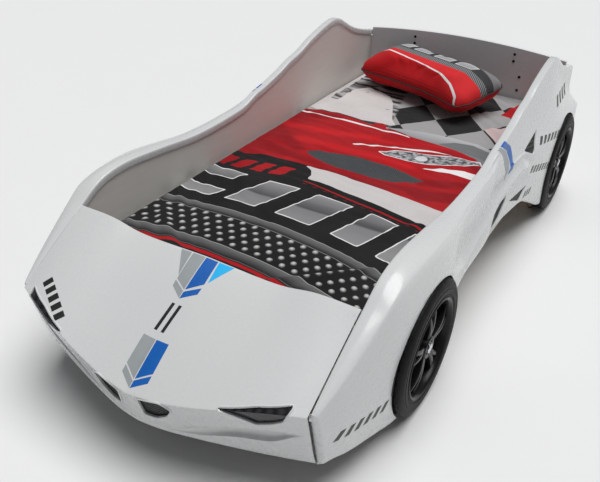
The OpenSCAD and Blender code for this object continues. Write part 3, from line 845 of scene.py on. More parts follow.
def build_hood():
    skin = hood_base("hood_moulding")
    tree = BVHTree.FromObject(skin, bpy.context.evaluated_depsgraph_get())
    cut_along(skin, [shape for o in FASCIA_OPENINGS.values() for shape in (o, flipped(o))],
              FRONT_VIEW, NOSE_DEPTH, False)
    thickened(skin, SHELL_T)
    bevelled(skin, EDGE_R, 50)
    applied(skin)
    finish_piece(skin, WHITE, replaces=["hood_shell"], angle=40)
    return tree


def sheet_behind(name, base, outline, axes, depth, gap):
    """Sheet that follows the surface base inside the outline, set back from it by gap."""
    cut_along(base, [outline], axes, depth, True)
    modifier(base, "DISPLACE", strength=-gap * MM, mid_level=0)
    thickened(base, SHEET_T)
    base.name = name
    return base


def build_nose_details(tree):
    """Inserts behind the openings of the fascia, and a raised lip round four of them."""
    for side, turn in (("left", lambda o: o), ("right", flipped)):
        for kind, part, gap, material, slot in (
                ("headlight", "lens", 0.3, LENS, "insert_black"),
                ("grille", "sheet", 2, MESH, "mesh_black"),
                ("intake", "sheet", 1, MESH, "mesh_black")):
            outline = grown(turn(FASCIA_OPENINGS[kind]), 6)
            sheet = sheet_behind(f"{side}_{kind}_{part}", hood_base("sheet"), outline, FRONT_VIEW,
                                 NOSE_DEPTH, SHELL_T + gap)
            finish_piece(sheet, material, replaces=[f"{side}_{kind}"])
        for kind, r in (("headlight", 2.2), ("grille", 3.0)):
            outline = resampled(grown(turn(FASCIA_OPENINGS[kind]), r * 0.8), 5)
            path, normals = on_hood(tree, outline, 0.2 * MM)
            lip = tube(f"{side}_{kind}_lip", path, r * MM, normals)
            finish_piece(lip, WHITE, angle=80)


# ---------------------------------------------------------------- wheels

SPOKES = 5
RIM_R = 150


def tyre_shape(i, k):
    """Cross grooves in the tread: every sixth step, in turn over even and odd rows of the profile."""
    groove, every = 2.5, 6
    return -groove * MM if i in TREAD_ROWS and (k + (i % 2) * 3) % every == 0 else 0


def tyre_profile():
    """Section of the tyre as (radius, x) from the outer bead over the tread to the inner bead."""
    inner, outer, mid, rim = WHEEL_IN + 1, WHEEL_OUT, (WHEEL_IN + WHEEL_OUT) / 2, RIM_R
    side = [(rim - 4, outer - 9), (rim + 1, outer - 3), (rim + 6, outer - 1.5), (rim + 9, outer - 3.5),
            (rim + 11, outer - 1.2), (rim + 25, outer), (rim + 27, outer - 1.6), (rim + 30, outer - 0.4),
            (rim + 39, outer - 2.5), (rim + 46, outer - 6), (TYRE_R - 3.5, outer - 9)]
    tread = [(TYRE_R - 1, outer - 12), (TYRE_R, outer - 15), (TYRE_R, outer - 20), (TYRE_R - 4, outer - 21),
             (TYRE_R - 4, outer - 23), (TYRE_R, outer - 24), (TYRE_R, mid), (TYRE_R - 4, mid - 1),
             (TYRE_R - 4, mid - 3), (TYRE_R, mid - 4), (TYRE_R, inner + 10)]
    rows = side + tread + [(TYRE_R - 5, inner), (rim - 4, inner)]
    return [(r * MM, x * MM) for r, x in rows], set(range(len(side), len(side) + len(tread)))


PROFILE, TREAD_ROWS = tyre_profile()


def rim_ring():
    out = WHEEL_OUT
    rows = [(151, out - 4), (151, out - 1.5), (148, out), (145, out - 1), (142, out - 5), (139, out - 12),
            (136, out - 30), (133, WHEEL_IN + 6), (133, WHEEL_IN + 3), (146, WHEEL_IN + 3), (146, out - 10)]
    return lathe("rim_barrel", [(r * MM, x * MM) for r, x in rows], 120)


def disc(name, rows, steps=96):
    """Solid of revolution about the X axis closed at both ends, from (radius, x) rows."""
    verts = [(x * MM, r * MM * math.cos(a), r * MM * math.sin(a)) for r, x in rows
             for a in (k * 2 * math.pi / steps for k in range(steps))]
    return new_object(name, verts, [f[::-1] for f in capped_faces(len(rows), steps)])


def spoke(angle, lean):
    """One tapered spoke from the hub to the barrel; its feet lean sideways by lean radians."""
    stations, chamfer = 9, 3.5
    rows = []
    for k in range(stations):
        t = k / (stations - 1)
        r = mix(26, 138, t)
        turn = angle + lean * (0.45 + 0.55 * t)
        half = mix(9.5, 6.5, math.sin(math.pi * t * 0.5))
        front = WHEEL_OUT - 14 + 7 * math.sin(math.pi * t) - 1.5 * t
        back = front - mix(17, 11, t)
        for w, x in ((-half, back), (-half, front - 3), (-half + chamfer, front), (half - chamfer, front),
                     (half, front - 3), (half, back)):
            y, z = r * math.cos(turn) - w * math.sin(turn), r * math.sin(turn) + w * math.cos(turn)
            rows.append((x * MM, y * MM, z * MM))
    return new_object("spoke", rows, [f[::-1] for f in capped_faces(stations, len(rows) // stations)])


def lug(angle):
    r, x = 21, WHEEL_OUT - 9
    peg = disc("lug", [(4.2, x - 6), (4.2, x), (3.2, x + 1.5)], 6)
    peg.data.transform(Matrix.Translation((0, r * MM * math.cos(angle), r * MM * math.sin(angle))))
    return peg


def build_wheels():
    inside, outside = WHEEL_IN, WHEEL_OUT
    for end, u in (("front", FRONT_U), ("rear", REAR_U)):
        tyre = lathe("tyre", PROFILE, 180, tyre_shape)
        back = disc("back", [(136, inside + 2), (136, inside + 5), (60, inside + 8), (40, inside + 12)])
        hub = disc("hub", [(40, inside + 4), (36, outside - 24), (34, outside - 12), (31, outside - 9),
                           (16, outside - 9)])
        parts = [rim_ring(), back, hub]
        for i in range(SPOKES):
            a = math.pi / 2 + i * 2 * math.pi / SPOKES
            parts += [spoke(a, 0.17), spoke(a, -0.17), lug(a + math.pi / SPOKES)]
        rim = joined("rim", parts)
        cap = disc("cap", [(15, outside - 12), (15, outside - 7), (14, outside - 5.6), (11.5, outside - 5),
                           (11, outside - 5.8), (5, outside - 5.2)], 48)
        for kind, obj, material, slot, node in (("tyre", tyre, RUBBER, "tyre_black", "tyre"),
                                                ("rim", rim, RIM, "rim_black", "rim"),
                                                ("cap", cap, CAP, "hub_grey", "hub_cap")):
            outward(obj).data.transform(Matrix.Translation((0, HOOD_Y + u * MM, AXLE_Z * MM)))
            right = mirrored(obj, f"{end}_right_wheel_{kind}")
            obj.name = f"{end}_left_wheel_{kind}"
            for side, piece in (("left", obj), ("right", right)):
                finish_piece(piece, material, replaces=[f"{end}_{side}_{node}"])


# ---------------------------------------------------------------- printed film on the shells

# outlines (x, u) on the hood, rows of bars for bar_row(), and outlines (u, z) on the flank
UPPER_BADGE = {"silver": [[(-82, -8), (-47, -8), (-40, -76)], [(-42, -8), (-1, -8), (-1, -103), (-38, -84)],
                          [(-39, -88), (-1, -107), (-1, -125), (-37, -104)]],
               "blue": [[(2, -8), (40, -8), (43, -74), (2, -102)],
                        [(2, -108), (43, -85), (42, -102), (1, -126)]],
               "sky": [[(44, -8), (91, -7), (50, -68)]]}
LOWER_BADGE = {"silver": [[(-36, -226), (3, -226), (1, -314), (-38, -293)],
                          [(-38, -297), (1, -318), (1, -333), (-38, -312)]],
               "blue": [[(6, -226), (45, -226), (46, -292), (4, -313)],
                        [(4, -317), (46, -297), (46, -313), (3, -333)]]}
HOOD_BARS = ((-398, -226), (-277, -300), 5, 27, 0.15)
COUNT_BARS = ((-18, -208), (26, -208), 2, 68, 0.35, 0.42)
SIDE_BARS = [((-176, 206), (36, 162), 6, 27, 0.5, 0.5), ((1545, 484), (1790, 470), 4, 40, 0.3, 0.5),
             ((1292, 424), (1600, 356), 7, 29, 0.4, 0.55), ((1214, 342), (1470, 262), 7, 27, 0.4, 0.55),
             ((1192, 247), (1277, 234), 3, 25, 0.4, 0.5)]
BAND_BLUE = [(930, 560), (966, 560), (971, 545), (1028, 510), (1041, 466), (1036, 426), (997, 421),
             (1011, 460), (989, 508), (935, 540)]
BAND_SILVER = [(888, 560), (925, 560), (930, 538), (982, 509), (1004, 462), (968, 411), (962, 440),
               (931, 509)]


def bar_row(start, end, count, height, lean, fill=0.62):
    """Row of slanted bars from start to end, each a four-cornered outline; fill is their share of it."""
    a, b = np.array(start, float), np.array(end, float)
    step = (b - a) / count
    across = np.array([-step[1], step[0]]) / np.linalg.norm(step) * height
    tip = across + step * lean
    return [[tuple(a + step * i), tuple(a + step * (i + fill)), tuple(a + step * (i + fill) + tip),
             tuple(a + step * i + tip)] for i in range(count)]


def film(name, base, outlines, axes, depth, material):
    """Thin printed film that lies on a shell inside the outlines."""
    cut_along(base, outlines, axes, depth, True)
    thickened(base, FILM_T, 1)
    base.name = name
    return finish_piece(base, material)


def build_hood_films():
    for name, outlines, depth, material in (
            ("silver", UPPER_BADGE["silver"] + LOWER_BADGE["silver"], HOOD_DEPTH, DECAL_SILVER),
            ("blue", UPPER_BADGE["blue"] + LOWER_BADGE["blue"], HOOD_DEPTH, DECAL_BLUE),
            ("sky", UPPER_BADGE["sky"], HOOD_DEPTH, DECAL_SKY),
            ("black", bar_row(*COUNT_BARS), HOOD_DEPTH, DECAL_BLACK),
            ("bars", bar_row(*HOOD_BARS), ABOVE_CREASE, DECAL_BLACK)):
        film(f"hood_film_{name}", hood_base("film"), outlines, TOP_VIEW, depth, material)


def build_side_films():
    bars = [bar for row in SIDE_BARS for bar in bar_row(*row)]
    for name, outlines, material in (("blue", [BAND_BLUE], DECAL_BLUE),
                                     ("silver", [BAND_SILVER], DECAL_SILVER),
                                     ("black", bars, DECAL_BLACK)):
        left = film(f"left_side_film_{name}", side_base(), outlines, SIDE_VIEW, (480, WHEEL_OUT + 10),
                    material)
        finish_piece(mirrored(left, f"right_side_film_{name}"), material)


# ---------------------------------------------------------------- printed cloth

def clipped(points, corners, margin):
    """Which points lie within margin of the corners' box."""
    low, high = np.min(corners, 0) - margin, np.max(corners, 0) + margin
    return np.all((points > low) & (points < high), axis=1)


# distances of a print field are not worked out beyond this, in centimetres
FAR = 4.0


def nearest(p, sides):
    """Distance of points to the nearest of several segments."""
    best = np.full(len(p), FAR)
    for a, b in sides:
        edge, w = b - a, p - a
        t = np.clip(w @ edge / max(edge @ edge, 1e-9), 0, 1)
        best = np.minimum(best, np.linalg.norm(w - t[:, None] * edge, axis=1))
    return best


def polygon_distance(points, outline):
    """Signed distance of 2-D points to a closed outline, negative inside."""
    corners = np.array(outline, float)
    field = np.full(len(points), FAR)
    near = clipped(points, corners, FAR)
    p = points[near]
    sides = list(zip(corners, np.roll(corners, -1, 0)))
    inside = np.zeros(len(p), bool)
    for a, b in sides:
        if a[1] != b[1]:
            crossing = (a[1] > p[:, 1]) != (b[1] > p[:, 1])
            inside ^= crossing & (p[:, 0] < (p[:, 1] - a[1]) / (b[1] - a[1]) * (b[0] - a[0]) + a[0])
    best = nearest(p, sides)
    field[near] = np.where(inside, -best, best)
    return field


def line_distance(points, path, width):
    """Signed distance to a stroke of the given width along an open path."""
    corners = np.array(path, float)
    field = np.full(len(points), FAR)
    near = clipped(points, corners, FAR)
    field[near] = nearest(points[near], zip(corners[:-1], corners[1:])) - width / 2
    return field


def union(fields):
    """Field that is negative where any of the fields is."""
    return np.minimum.reduce(list(fields))


def slanted(x, y, width, height, lean, rise=0.0):
    """Parallelogram standing on (x, y); lean shifts its top and rise lifts its right side."""
    return [(x, y), (x + width, y + rise), (x + width + lean, y + rise + height), (x + lean, y + height)]


def bent(path):
    """Sheet coordinates of a path drawn on the bands, which fall away to both sides."""
    return [(x, v - BAND_FALL * (x - BAND_APEX) ** 2) for x, v in path]


# the bands fall away from BAND_APEX; outlines of the print in centimetres, y counted from the hood
BAND_APEX, BAND_FALL = -8.0, 0.0035
BLOCKS = [slanted(-54, 52, 23, 6, 2.5, 2.2), slanted(-54, 39, 23, 6.2, 2.5, 1.6),
          slanted(-26, 42, 12, 18.6, 6, 0.6), slanted(-7, 43, 13.5, 18.2, 6, -0.8),
          slanted(14, 41.3, 10.5, 18, 5.5, -2), slanted(31, 37.5, 10, 18, 5, -3)]
TAB_BARS = [slanted(-45.5 + 7.2 * i, 61 + 1.25 * i, 4.7, 7.8, 2.2, 0.8) for i in range(4)]
PALE_BAND = [(-10, 69), (10, 67), (38, 61), (50, 57.5), (50, 70), (38, 72.5), (20, 75.5), (0, 77.2),
             (-12, 78), (-16, 77.8), (-12, 75), (-10, 71.5)]
BONNET = [(-50, 69), (-46, 71), (-35, 76), (-20, 78), (0, 77.5), (20, 75.5), (38, 72.5), (50, 70),
          (50, 107), (38, 112), (34, 116), (25, 120), (10, 122), (-6, 123.8), (-7, 127), (-9.5, 128.3),
          (-12, 127.4), (-13, 124.6), (-20, 126), (-30, 127.6), (-40, 125.5), (-46, 119), (-50, 112)]
OVAL = [(-22, 88), (-18, 90.5), (-12, 92.6), (-2, 94), (8, 93.6), (17, 91.6), (25, 89), (22, 86),
        (16, 83.2), (8, 81.8), (-4, 82), (-14, 83.8), (-19, 85.6)]
LAMP = [(0.5, 103), (6, 106.5), (15, 110), (26, 113.2), (36, 115), (38, 112), (30, 107.5), (22, 103),
        (12, 101), (4, 101)]
LAMP_RIM = [(16.5, 103.5), (18.7, 104.6), (19, 106.6), (17, 107.8), (14.6, 106.8), (14.4, 104.5)]
WING = [(19.5, 98), (26, 102), (34, 104.5), (50, 105), (50, 98.5), (38, 99.5), (30, 99.8), (24, 98.8)]
ROOF = [(-8, 125), (0, 127), (8, 129.3), (20, 130.4), (30, 129.8), (37, 127), (50, 120), (50, 107),
        (38, 112), (34, 116), (25, 120), (10, 122)]
WINDOW = [(17, 121.8), (22, 126.6), (29, 127.8), (38, 124.5), (46, 117), (44, 113), (34, 118)]
PALE_FIELD = [(-50, 122), (-42, 126), (-30, 128.2), (-18, 126.4), (-12, 127.8), (-4, 128.8), (-8, 134),
              (-12, 143), (-15.5, 151), (-20, 157.5), (-26, 160.6), (-34, 160.3), (-37, 158),
              (-37.5, 142), (-41, 141), (-41.5, 190), (-50, 190)]
PINK = [(27, 145.5), (38, 154), (50, 152), (50, 138), (36, 134)]


def bedspread_print_fields(p):
    """Fields of the bedspread's print over flat points in centimetres, each negative inside its colour."""
    strokes = [[(-10, 103.6), (-2, 107), (8, 110.6), (18, 113), (25, 114.4)],
               [(-46, 118), (-36, 122.3), (-25, 122.4), (-10, 121.8), (5, 121.2)]]
    edge_line = [(-10, 66.6), (8, 64), (38, 58.5), (50, 56)]
    last_band = [(28, 164), (50, 160), (50, 190), (33, 190)]
    blocks = union(polygon_distance(p, b) for b in BLOCKS)
    lamp = polygon_distance(p, LAMP)
    red = union([polygon_distance(p, b) for b in [BONNET, last_band] + TAB_BARS]
                + [line_distance(p, bent([(x, 12.7) for x in range(-50, 51, 4)]), 1.5),
                   line_distance(p, edge_line, 0.8),
                   line_distance(p, [(x, y - 1.6) for x, y in edge_line], 0.25)])
    # folds of the printed bonnet: path, width and strength
    dark = [([(-50, 86), (-30, 83), (-10, 79.5), (15, 79), (40, 82)], 3.2, 0.75),
            ([(-50, 104), (-38, 96), (-26, 89)], 4, 0.6), ([(25, 88), (38, 94), (50, 97)], 3, 0.6),
            ([(-50, 108), (-40, 119), (-28, 124.5)], 3, 0.5),
            ([(-2, 115), (20, 116.5), (38, 108)], 2, 0.4), ([(28, 78), (36, 84), (50, 88)], 2.5, 0.6)]
    light = [([(-42, 106), (-20, 109), (0, 114), (20, 117.5)], 3, 0.55),
             ([(-30, 97), (0, 98), (16, 97)], 2.5, 0.45),
             ([(-25, 79.5), (0, 80), (22, 78.5)], 1.2, 0.4)]

    def soft(paths):
        return sum(k * np.exp(-np.maximum(line_distance(p, path, 0), 0) ** 2 / w ** 2)
                   for path, w, k in paths)

    return {"print_white": union([blocks, lamp, polygon_distance(p, WING)]
                                 + [line_distance(p, s, 1.0) for s in strokes]),
            "print_silver": union([blocks, lamp]) + 0.42,
            "print_pale": union([polygon_distance(p, PALE_BAND), polygon_distance(p, PALE_FIELD)]),
            "print_red": red, "print_oval": polygon_distance(p, OVAL),
            "print_rim": polygon_distance(p, LAMP_RIM), "print_roof": polygon_distance(p, ROOF),
            "print_window": polygon_distance(p, WINDOW), "print_pink": polygon_distance(p, PINK),
            "print_shade": np.clip(soft(dark) - soft(light), -1, 1)}


class Cloth(Shader):
    """Printed cotton: layers of flat colour over one another, then weave and sheen."""

    def __init__(self, name, base):
        super().__init__(name)
        self.colour = base

    def mask(self, field):
        """1 where the named field is negative, with an edge a millimetre wide."""
        return self.span(self.attribute(field), -0.05, 0.05, 1.0, 0.0)

    def plane(self, flat):
        """The two sheet coordinates in centimetres."""
        return [self.math("MULTIPLY", v, 100) for v in self.separate(flat)[:2]]

    def lay(self, mask, colour):
        self.colour = self.blend(mask, self.colour, colour)

    def weave(self, flat):
        """Closes the material with crossed threads, fuzz and a slight fading; returns it."""
        threads = 3800
        warp, weft = (self.math("SINE", self.math("MULTIPLY", v, threads))
                      for v in self.separate(flat)[:2])
        thread = self.math("MULTIPLY", warp, weft)
        fuzz = self.noise(420, 4, 0.6)
        height = self.math("ADD", self.math("MULTIPLY", thread, 0.35), fuzz)
        fading = self.span(self.noise(7, 3), 0.35, 0.65, 0.0, 0.015)
        faded = self.blend(fading, self.colour, (0.42, 0.40, 0.39))
        self.set(Base_Color=faded, Roughness=self.span(fuzz, 0.3, 0.7, 0.72, 0.86), Specular_IOR_Level=0.15,
                 Sheen_Weight=0.06, Sheen_Roughness=0.4, Normal=self.bump(height, 0.22, 0.0006))
        return self.material


RED_INK, DEEP_RED, BRIGHT_RED = (0.56, 0.009, 0.013), (0.25, 0.004, 0.008), (0.78, 0.03, 0.035)
BLACK_INK, PALE_INK, WHITE_INK = (0.011, 0.010, 0.011), (0.66, 0.63, 0.62), (0.80, 0.79, 0.79)


def bedspread_cloth():
    s = Cloth("bedspread_print", BLACK_INK)
    flat = s.attribute("flat", "Vector")
    x, y = s.plane(flat)
    off = s.math("SUBTRACT", x, BAND_APEX)
    v = s.math("ADD", y, s.math("MULTIPLY", s.math("MULTIPLY", off, off), BAND_FALL))
    # checked flag and the blurred greys beyond the bonnet
    a = s.math("DIVIDE", s.math("SUBTRACT", x, 17), 20)
    b = s.math("DIVIDE", s.math("SUBTRACT", y, 144), 26)
    on_point = s.node("CombineXYZ", {0: s.math("ADD", s.math("ADD", a, b), 0.5),
                                     1: s.math("ADD", s.math("SUBTRACT", a, b), 0.5), 2: 0.5})
    checks = s.node("TexChecker", {"Vector": on_point, "Color1": (0.34, 0.335, 0.335),
                                   "Color2": (0.016, 0.016, 0.017), "Scale": 1.0})
    streaks = s.node("Mapping", {"Vector": flat, "Scale": (3, 34, 1), "Rotation": (0, 0, 0.5)})
    blurred = s.blend(s.span(s.noise(1, 2, vector=streaks), 0.42, 0.58),
                      (0.03, 0.03, 0.032), (0.42, 0.41, 0.41))
    left = s.span(s.math("ADD", x, s.math("MULTIPLY", y, 0.25)), 26.5, 25, 0.0, 1.0)
    far = s.span(y, 120, 120.2)
    s.lay(far, s.blend(left, checks, blurred))
    # dark grey bands with thin light lines
    for low, high, tone in ((14.2, 18.2, 0.12), (33.4, 37.0, 0.13)):
        below_top = s.span(v, high - 0.05, high + 0.05, 1.0, 0.0)
        inside = s.math("MULTIPLY", s.span(v, low, high - 0.6), below_top)
        s.lay(s.math("MULTIPLY", inside, s.span(v, low - 0.1, low)), (tone, tone, tone * 1.03))
    for at, tone in ((14.0, 0.10), (18.4, 0.30), (33.2, 0.18), (35.2, 0.10), (37.1, 0.28)):
        thin = s.span(s.math("ABSOLUTE", s.math("SUBTRACT", v, at)), 0.10, 0.22, 1.0, 0.0)
        s.lay(thin, (tone, tone, tone))
    # rows of silver beads
    pitch, gap, first, rows = 2.9, 4.5, 18.9, 5
    r = s.math("DIVIDE", s.math("SUBTRACT", v, first), pitch)
    row = s.math("FLOOR", r)
    c = s.math("ADD", s.math("DIVIDE", x, gap), s.math("MULTIPLY", row, 0.5))
    dx = s.math("MULTIPLY", s.math("SUBTRACT", s.math("FRACT", c), 0.5), gap)
    dy = s.math("MULTIPLY", s.math("SUBTRACT", s.math("FRACT", r), 0.5), pitch)

    def round_distance(cx, cy):
        p, q = s.math("SUBTRACT", dx, cx), s.math("SUBTRACT", dy, cy)
        return s.math("SQRT", s.math("ADD", s.math("MULTIPLY", p, p), s.math("MULTIPLY", q, q)))

    in_rows = s.math("MULTIPLY", s.math("GREATER_THAN", r, 0), s.math("LESS_THAN", r, rows))
    bead = s.math("MULTIPLY", s.span(round_distance(0, 0), 0.95, 1.1, 1.0, 0.0), in_rows)
    shine = s.span(round_distance(-0.22, 0.3), 0.1, 1.15, 1.0, 0.0)
    s.lay(bead, s.blend(shine, (0.045, 0.045, 0.047), (0.60, 0.59, 0.58)))
    # off-white fields with dark flecks
    flecks = s.span(s.noise(24, 2, vector=flat), 0.705, 0.735)
    pale = s.blend(s.noise(6, 3), (0.50, 0.475, 0.47), PALE_INK)
    s.lay(s.mask("print_pale"), s.blend(flecks, pale, (0.12, 0.11, 0.11)))
    s.lay(s.mask("print_pink"), (0.56, 0.43, 0.43))
    roof = s.blend(s.span(y, 119, 130), (0.20, 0.20, 0.21), (0.46, 0.46, 0.47))
    s.lay(s.mask("print_roof"), roof)
    s.lay(s.mask("print_window"), (0.16, 0.165, 0.17))
    # red bodywork, darker in its folds and at its left end
    shade = s.attribute("print_shade")
    side = s.math("ADD", shade, s.span(x, -28, -46, 0.0, 0.45))
    red = s.blend(s.span(side, 0.0, 0.85), RED_INK, DEEP_RED)
    red = s.blend(s.span(side, 0.0, -0.7), red, BRIGHT_RED)
    s.lay(s.mask("print_red"), red)
    lattice = s.node("Mapping", {"Vector": flat, "Rotation": (0, 0, math.radians(40))})
    cells = s.node("TexChecker", {"Vector": lattice, "Scale": 190, "Color1": (0.03, 0.034, 0.038),
                                  "Color2": (0.085, 0.09, 0.095)})
    s.lay(s.mask("print_oval"), cells)
    s.lay(s.mask("print_white"), WHITE_INK)
    # grey-shaded blocks and the lamp, inside their white outlines
    steel = s.node("ValToRGB", {0: s.span(y, 40, 62)})
    stops = steel.node.color_ramp.elements
    stops[0].color, stops[1].color = (0.26, 0.26, 0.265, 1), (0.30, 0.30, 0.305, 1)
    stops.new(0.45).color = (0.20, 0.20, 0.205, 1)
    stops.new(0.5).color = (0.075, 0.075, 0.08, 1)
    glass = s.blend(s.span(s.noise(60, 3, vector=flat), 0.4, 0.6), (0.07, 0.07, 0.075), (0.42, 0.43, 0.45))
    s.lay(s.mask("print_silver"), s.blend(s.span(y, 80, 80.1), steel, glass))
    s.lay(s.mask("print_rim"), (0.62, 0.63, 0.65))
    return s.weave(flat)


def simulate(obj, frames, pinned=(), pressure=0.0, gravity=0.0, grow=0.0, stretch=15.0, bend=0.5,
             rests=None):
    """Runs a short cloth simulation on obj and keeps its result as the mesh."""
    gap = 0.001
    cloth = obj.modifiers.new("cloth", "CLOTH")
    s = cloth.settings
    s.quality = 6
    s.mass = 0.25
    s.tension_stiffness = s.compression_stiffness = stretch
    s.shear_stiffness = stretch / 2
    s.bending_stiffness = bend
    s.use_pressure = pressure > 0
    s.uniform_pressure_force = pressure
    s.effector_weights.gravity = gravity
    s.shrink_min = s.shrink_max = -grow
    if len(pinned):
        group = obj.vertex_groups.new(name="pinned")
        group.add([int(i) for i in pinned], 1.0, "REPLACE")
        s.vertex_group_mass = group.name
    cloth.collision_settings.use_collision = rests is not None
    cloth.collision_settings.distance_min = gap
    if rests:
        modifier(rests, "COLLISION")
        rests.collision.thickness_outer = gap
    cloth.point_cache.frame_start, cloth.point_cache.frame_end = 1, frames
    for f in range(1, frames + 1):
        bpy.context.scene.frame_set(f)
    applied(obj)
    bpy.context.scene.frame_set(1)


def capped(obj, start, limit):
    """Keeps every point of obj within limit of its starting place."""
    move = coordinates(obj) - start
    far = np.linalg.norm(move, axis=1)
    set_coordinates(obj, start + move * np.minimum(1, limit / np.maximum(far, 1e-9))[:, None])


def finer(grid):
    """Grid of points with a new smooth row between each pair of rows, both ways."""
    for axis in (0, 1):
        g = np.moveaxis(grid, axis, 0)
        wide = np.concatenate([2 * g[:1] - g[1:2], g, 2 * g[-1:] - g[-2:-1]])
        between = (-wide[:-3] + 9 * wide[1:-2] + 9 * wide[2:-1] - wide[3:]) / 16
        out = np.empty((2 * len(g) - 1,) + g.shape[1:])
        out[::2], out[1::2] = g, between
        grid = np.moveaxis(out, 0, axis)
    return grid


def border_of(rows, columns):
    """Indices of the points round the edge of a rows x columns grid, in order."""
    ring = [(0, i) for i in range(columns)] + [(j, columns - 1) for j in range(1, rows)]
    ring += [(rows - 1, i) for i in range(columns - 2, -1, -1)] + [(j, 0) for j in range(rows - 2, 0, -1)]
    return [j * columns + i for j, i in ring]


def set_fields(obj, fields):
    """Stores named values, one number or one vector for each vertex."""
    for name, values in fields.items():
        kind, item = ("FLOAT_VECTOR", "vector") if values.ndim == 2 else ("FLOAT", "value")
        layer = obj.data.attributes.new(name, kind, "POINT")
        layer.data.foreach_set(item, values.astype(np.float32).ravel())


def build_bedspread():
    """Printed quilt laid on the mattress: wrinkled by simulation, its edges tucked down at the boards."""
    low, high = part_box("bedspread")
    step, inset, drop, tucked = 0.0125, 0.001, 0.013, 0.026
    x0, x1, y0, y1 = low.x + inset, high.x - inset, low.y + inset, high.y - inset
    nx, ny = round((x1 - x0) / step), round((y1 - y0) / step)
    gx, gy = np.meshgrid(np.linspace(x0, x1, nx + 1), np.linspace(y0, y1, ny + 1))
    top = high.z - 0.004
    edge = np.minimum.reduce([gx - x0, x1 - gx, gy - y0, y1 - gy])
    start = np.stack([gx, gy, top - drop * np.clip(1 - edge / tucked, 0, 1) ** 2], -1)
    sheet = new_object("bedspread_quilt", start.reshape(-1, 3), grid_faces(ny + 1, nx + 1))
    bed, beyond = top - 0.0045, 1
    support = new_object("support", [(x0 - beyond, y0 - beyond, bed), (x1 + beyond, y0 - beyond, bed),
                                     (x1 + beyond, y1 + beyond, bed), (x0 - beyond, y1 + beyond, bed)],
                         [(0, 1, 2, 3)])
    border = np.flatnonzero(edge.ravel() < 1.6 * step)
    simulate(sheet, 26, border, gravity=0.5, grow=0.012, bend=3.0, rests=support)
    bpy.data.objects.remove(support)
    capped(sheet, start.reshape(-1, 3), 0.012)
    grid = coordinates(sheet).reshape(ny + 1, nx + 1, 3)
    bpy.data.objects.remove(sheet)
    # low swells of the filling, away from the edge
    swell = 0.0012 * np.clip(edge / 0.05, 0, 1)
    grid[..., 2] += swell * (np.sin(gx * 31 + 2 * np.sin(gy * 5)) * np.sin(gy * 17 + np.sin(gx * 9)))
    grid[..., 2] = np.minimum(grid[..., 2], high.z + 0.004)
    fine, flat = finer(grid), finer(np.stack([gx, gy - HOOD_Y, 0 * gx], -1))
    rows, columns = fine.shape[:2]
    verts = fine.reshape(-1, 3)
    loop = border_of(rows, columns)
    under = verts[loop].copy()
    under[:, 2] = low.z + 0.0006
    first, n = rows * columns, len(loop)
    faces = grid_faces(rows, columns)
    faces += [(loop[(k + 1) % n], loop[k], first + k, first + (k + 1) % n) for k in range(n)]
    faces += [tuple(first + k for k in range(n))[::-1]]
    quilt = new_object("bedspread_quilt", np.concatenate([verts, under]), faces)
    flat = np.concatenate([flat.reshape(-1, 3), flat.reshape(-1, 3)[loop]])
    set_fields(quilt, {"flat": flat, **bedspread_print_fields(flat[:, :2] * 100)})
    finish_piece(quilt, bedspread_cloth(), "bedspread", ["bedspread"], 70)
    hem_r = 0.0022
    hem = tube("bedspread_hem", [verts[i] - Vector((0, 0, 0.002)) for i in loop[::4]], hem_r)
    finish_piece(hem, BINDING, "bedspread", angle=80)


def pillow_cloth():
    s = Cloth("pillow_print", RED_INK)
    flat = s.attribute("flat", "Vector")
    x, y = s.plane(flat)
    wavy = s.math("ADD", s.math("MULTIPLY", y, 1.4), s.math("MULTIPLY", s.noise(5, 2), 0.8))
    folds = s.math("PINGPONG", wavy, 0.5)
    s.lay(s.span(folds, 0.2, 0.5, 0.0, 0.5), DEEP_RED)
    s.lay(s.mask("print_bright"), s.blend(s.noise(12, 3), (0.58, 0.016, 0.02), BRIGHT_RED))
    s.lay(s.mask("print_black"), s.blend(s.noise(9, 3), (0.02, 0.02, 0.022), (0.07, 0.07, 0.075)))
    ribs = s.math("PINGPONG", s.math("ADD", x, s.math("MULTIPLY", y, 0.5)), 0.42)
    ribbed = s.blend(s.span(ribs, 0.12, 0.28), (0.055, 0.058, 0.062), (0.27, 0.28, 0.29))
    s.lay(s.mask("print_ribs"), ribbed)
    s.lay(s.mask("print_white"), WHITE_INK)
    s.lay(s.mask("print_silver"), s.blend(s.span(y, 3, 9), (0.30, 0.30, 0.31), (0.50, 0.50, 0.51)))
    s.lay(s.mask("print_red"), BRIGHT_RED)
    s.lay(s.mask("print_grey"), s.blend(s.noise(9, 3), (0.16, 0.16, 0.165), (0.26, 0.26, 0.265)))
    return s.weave(flat)


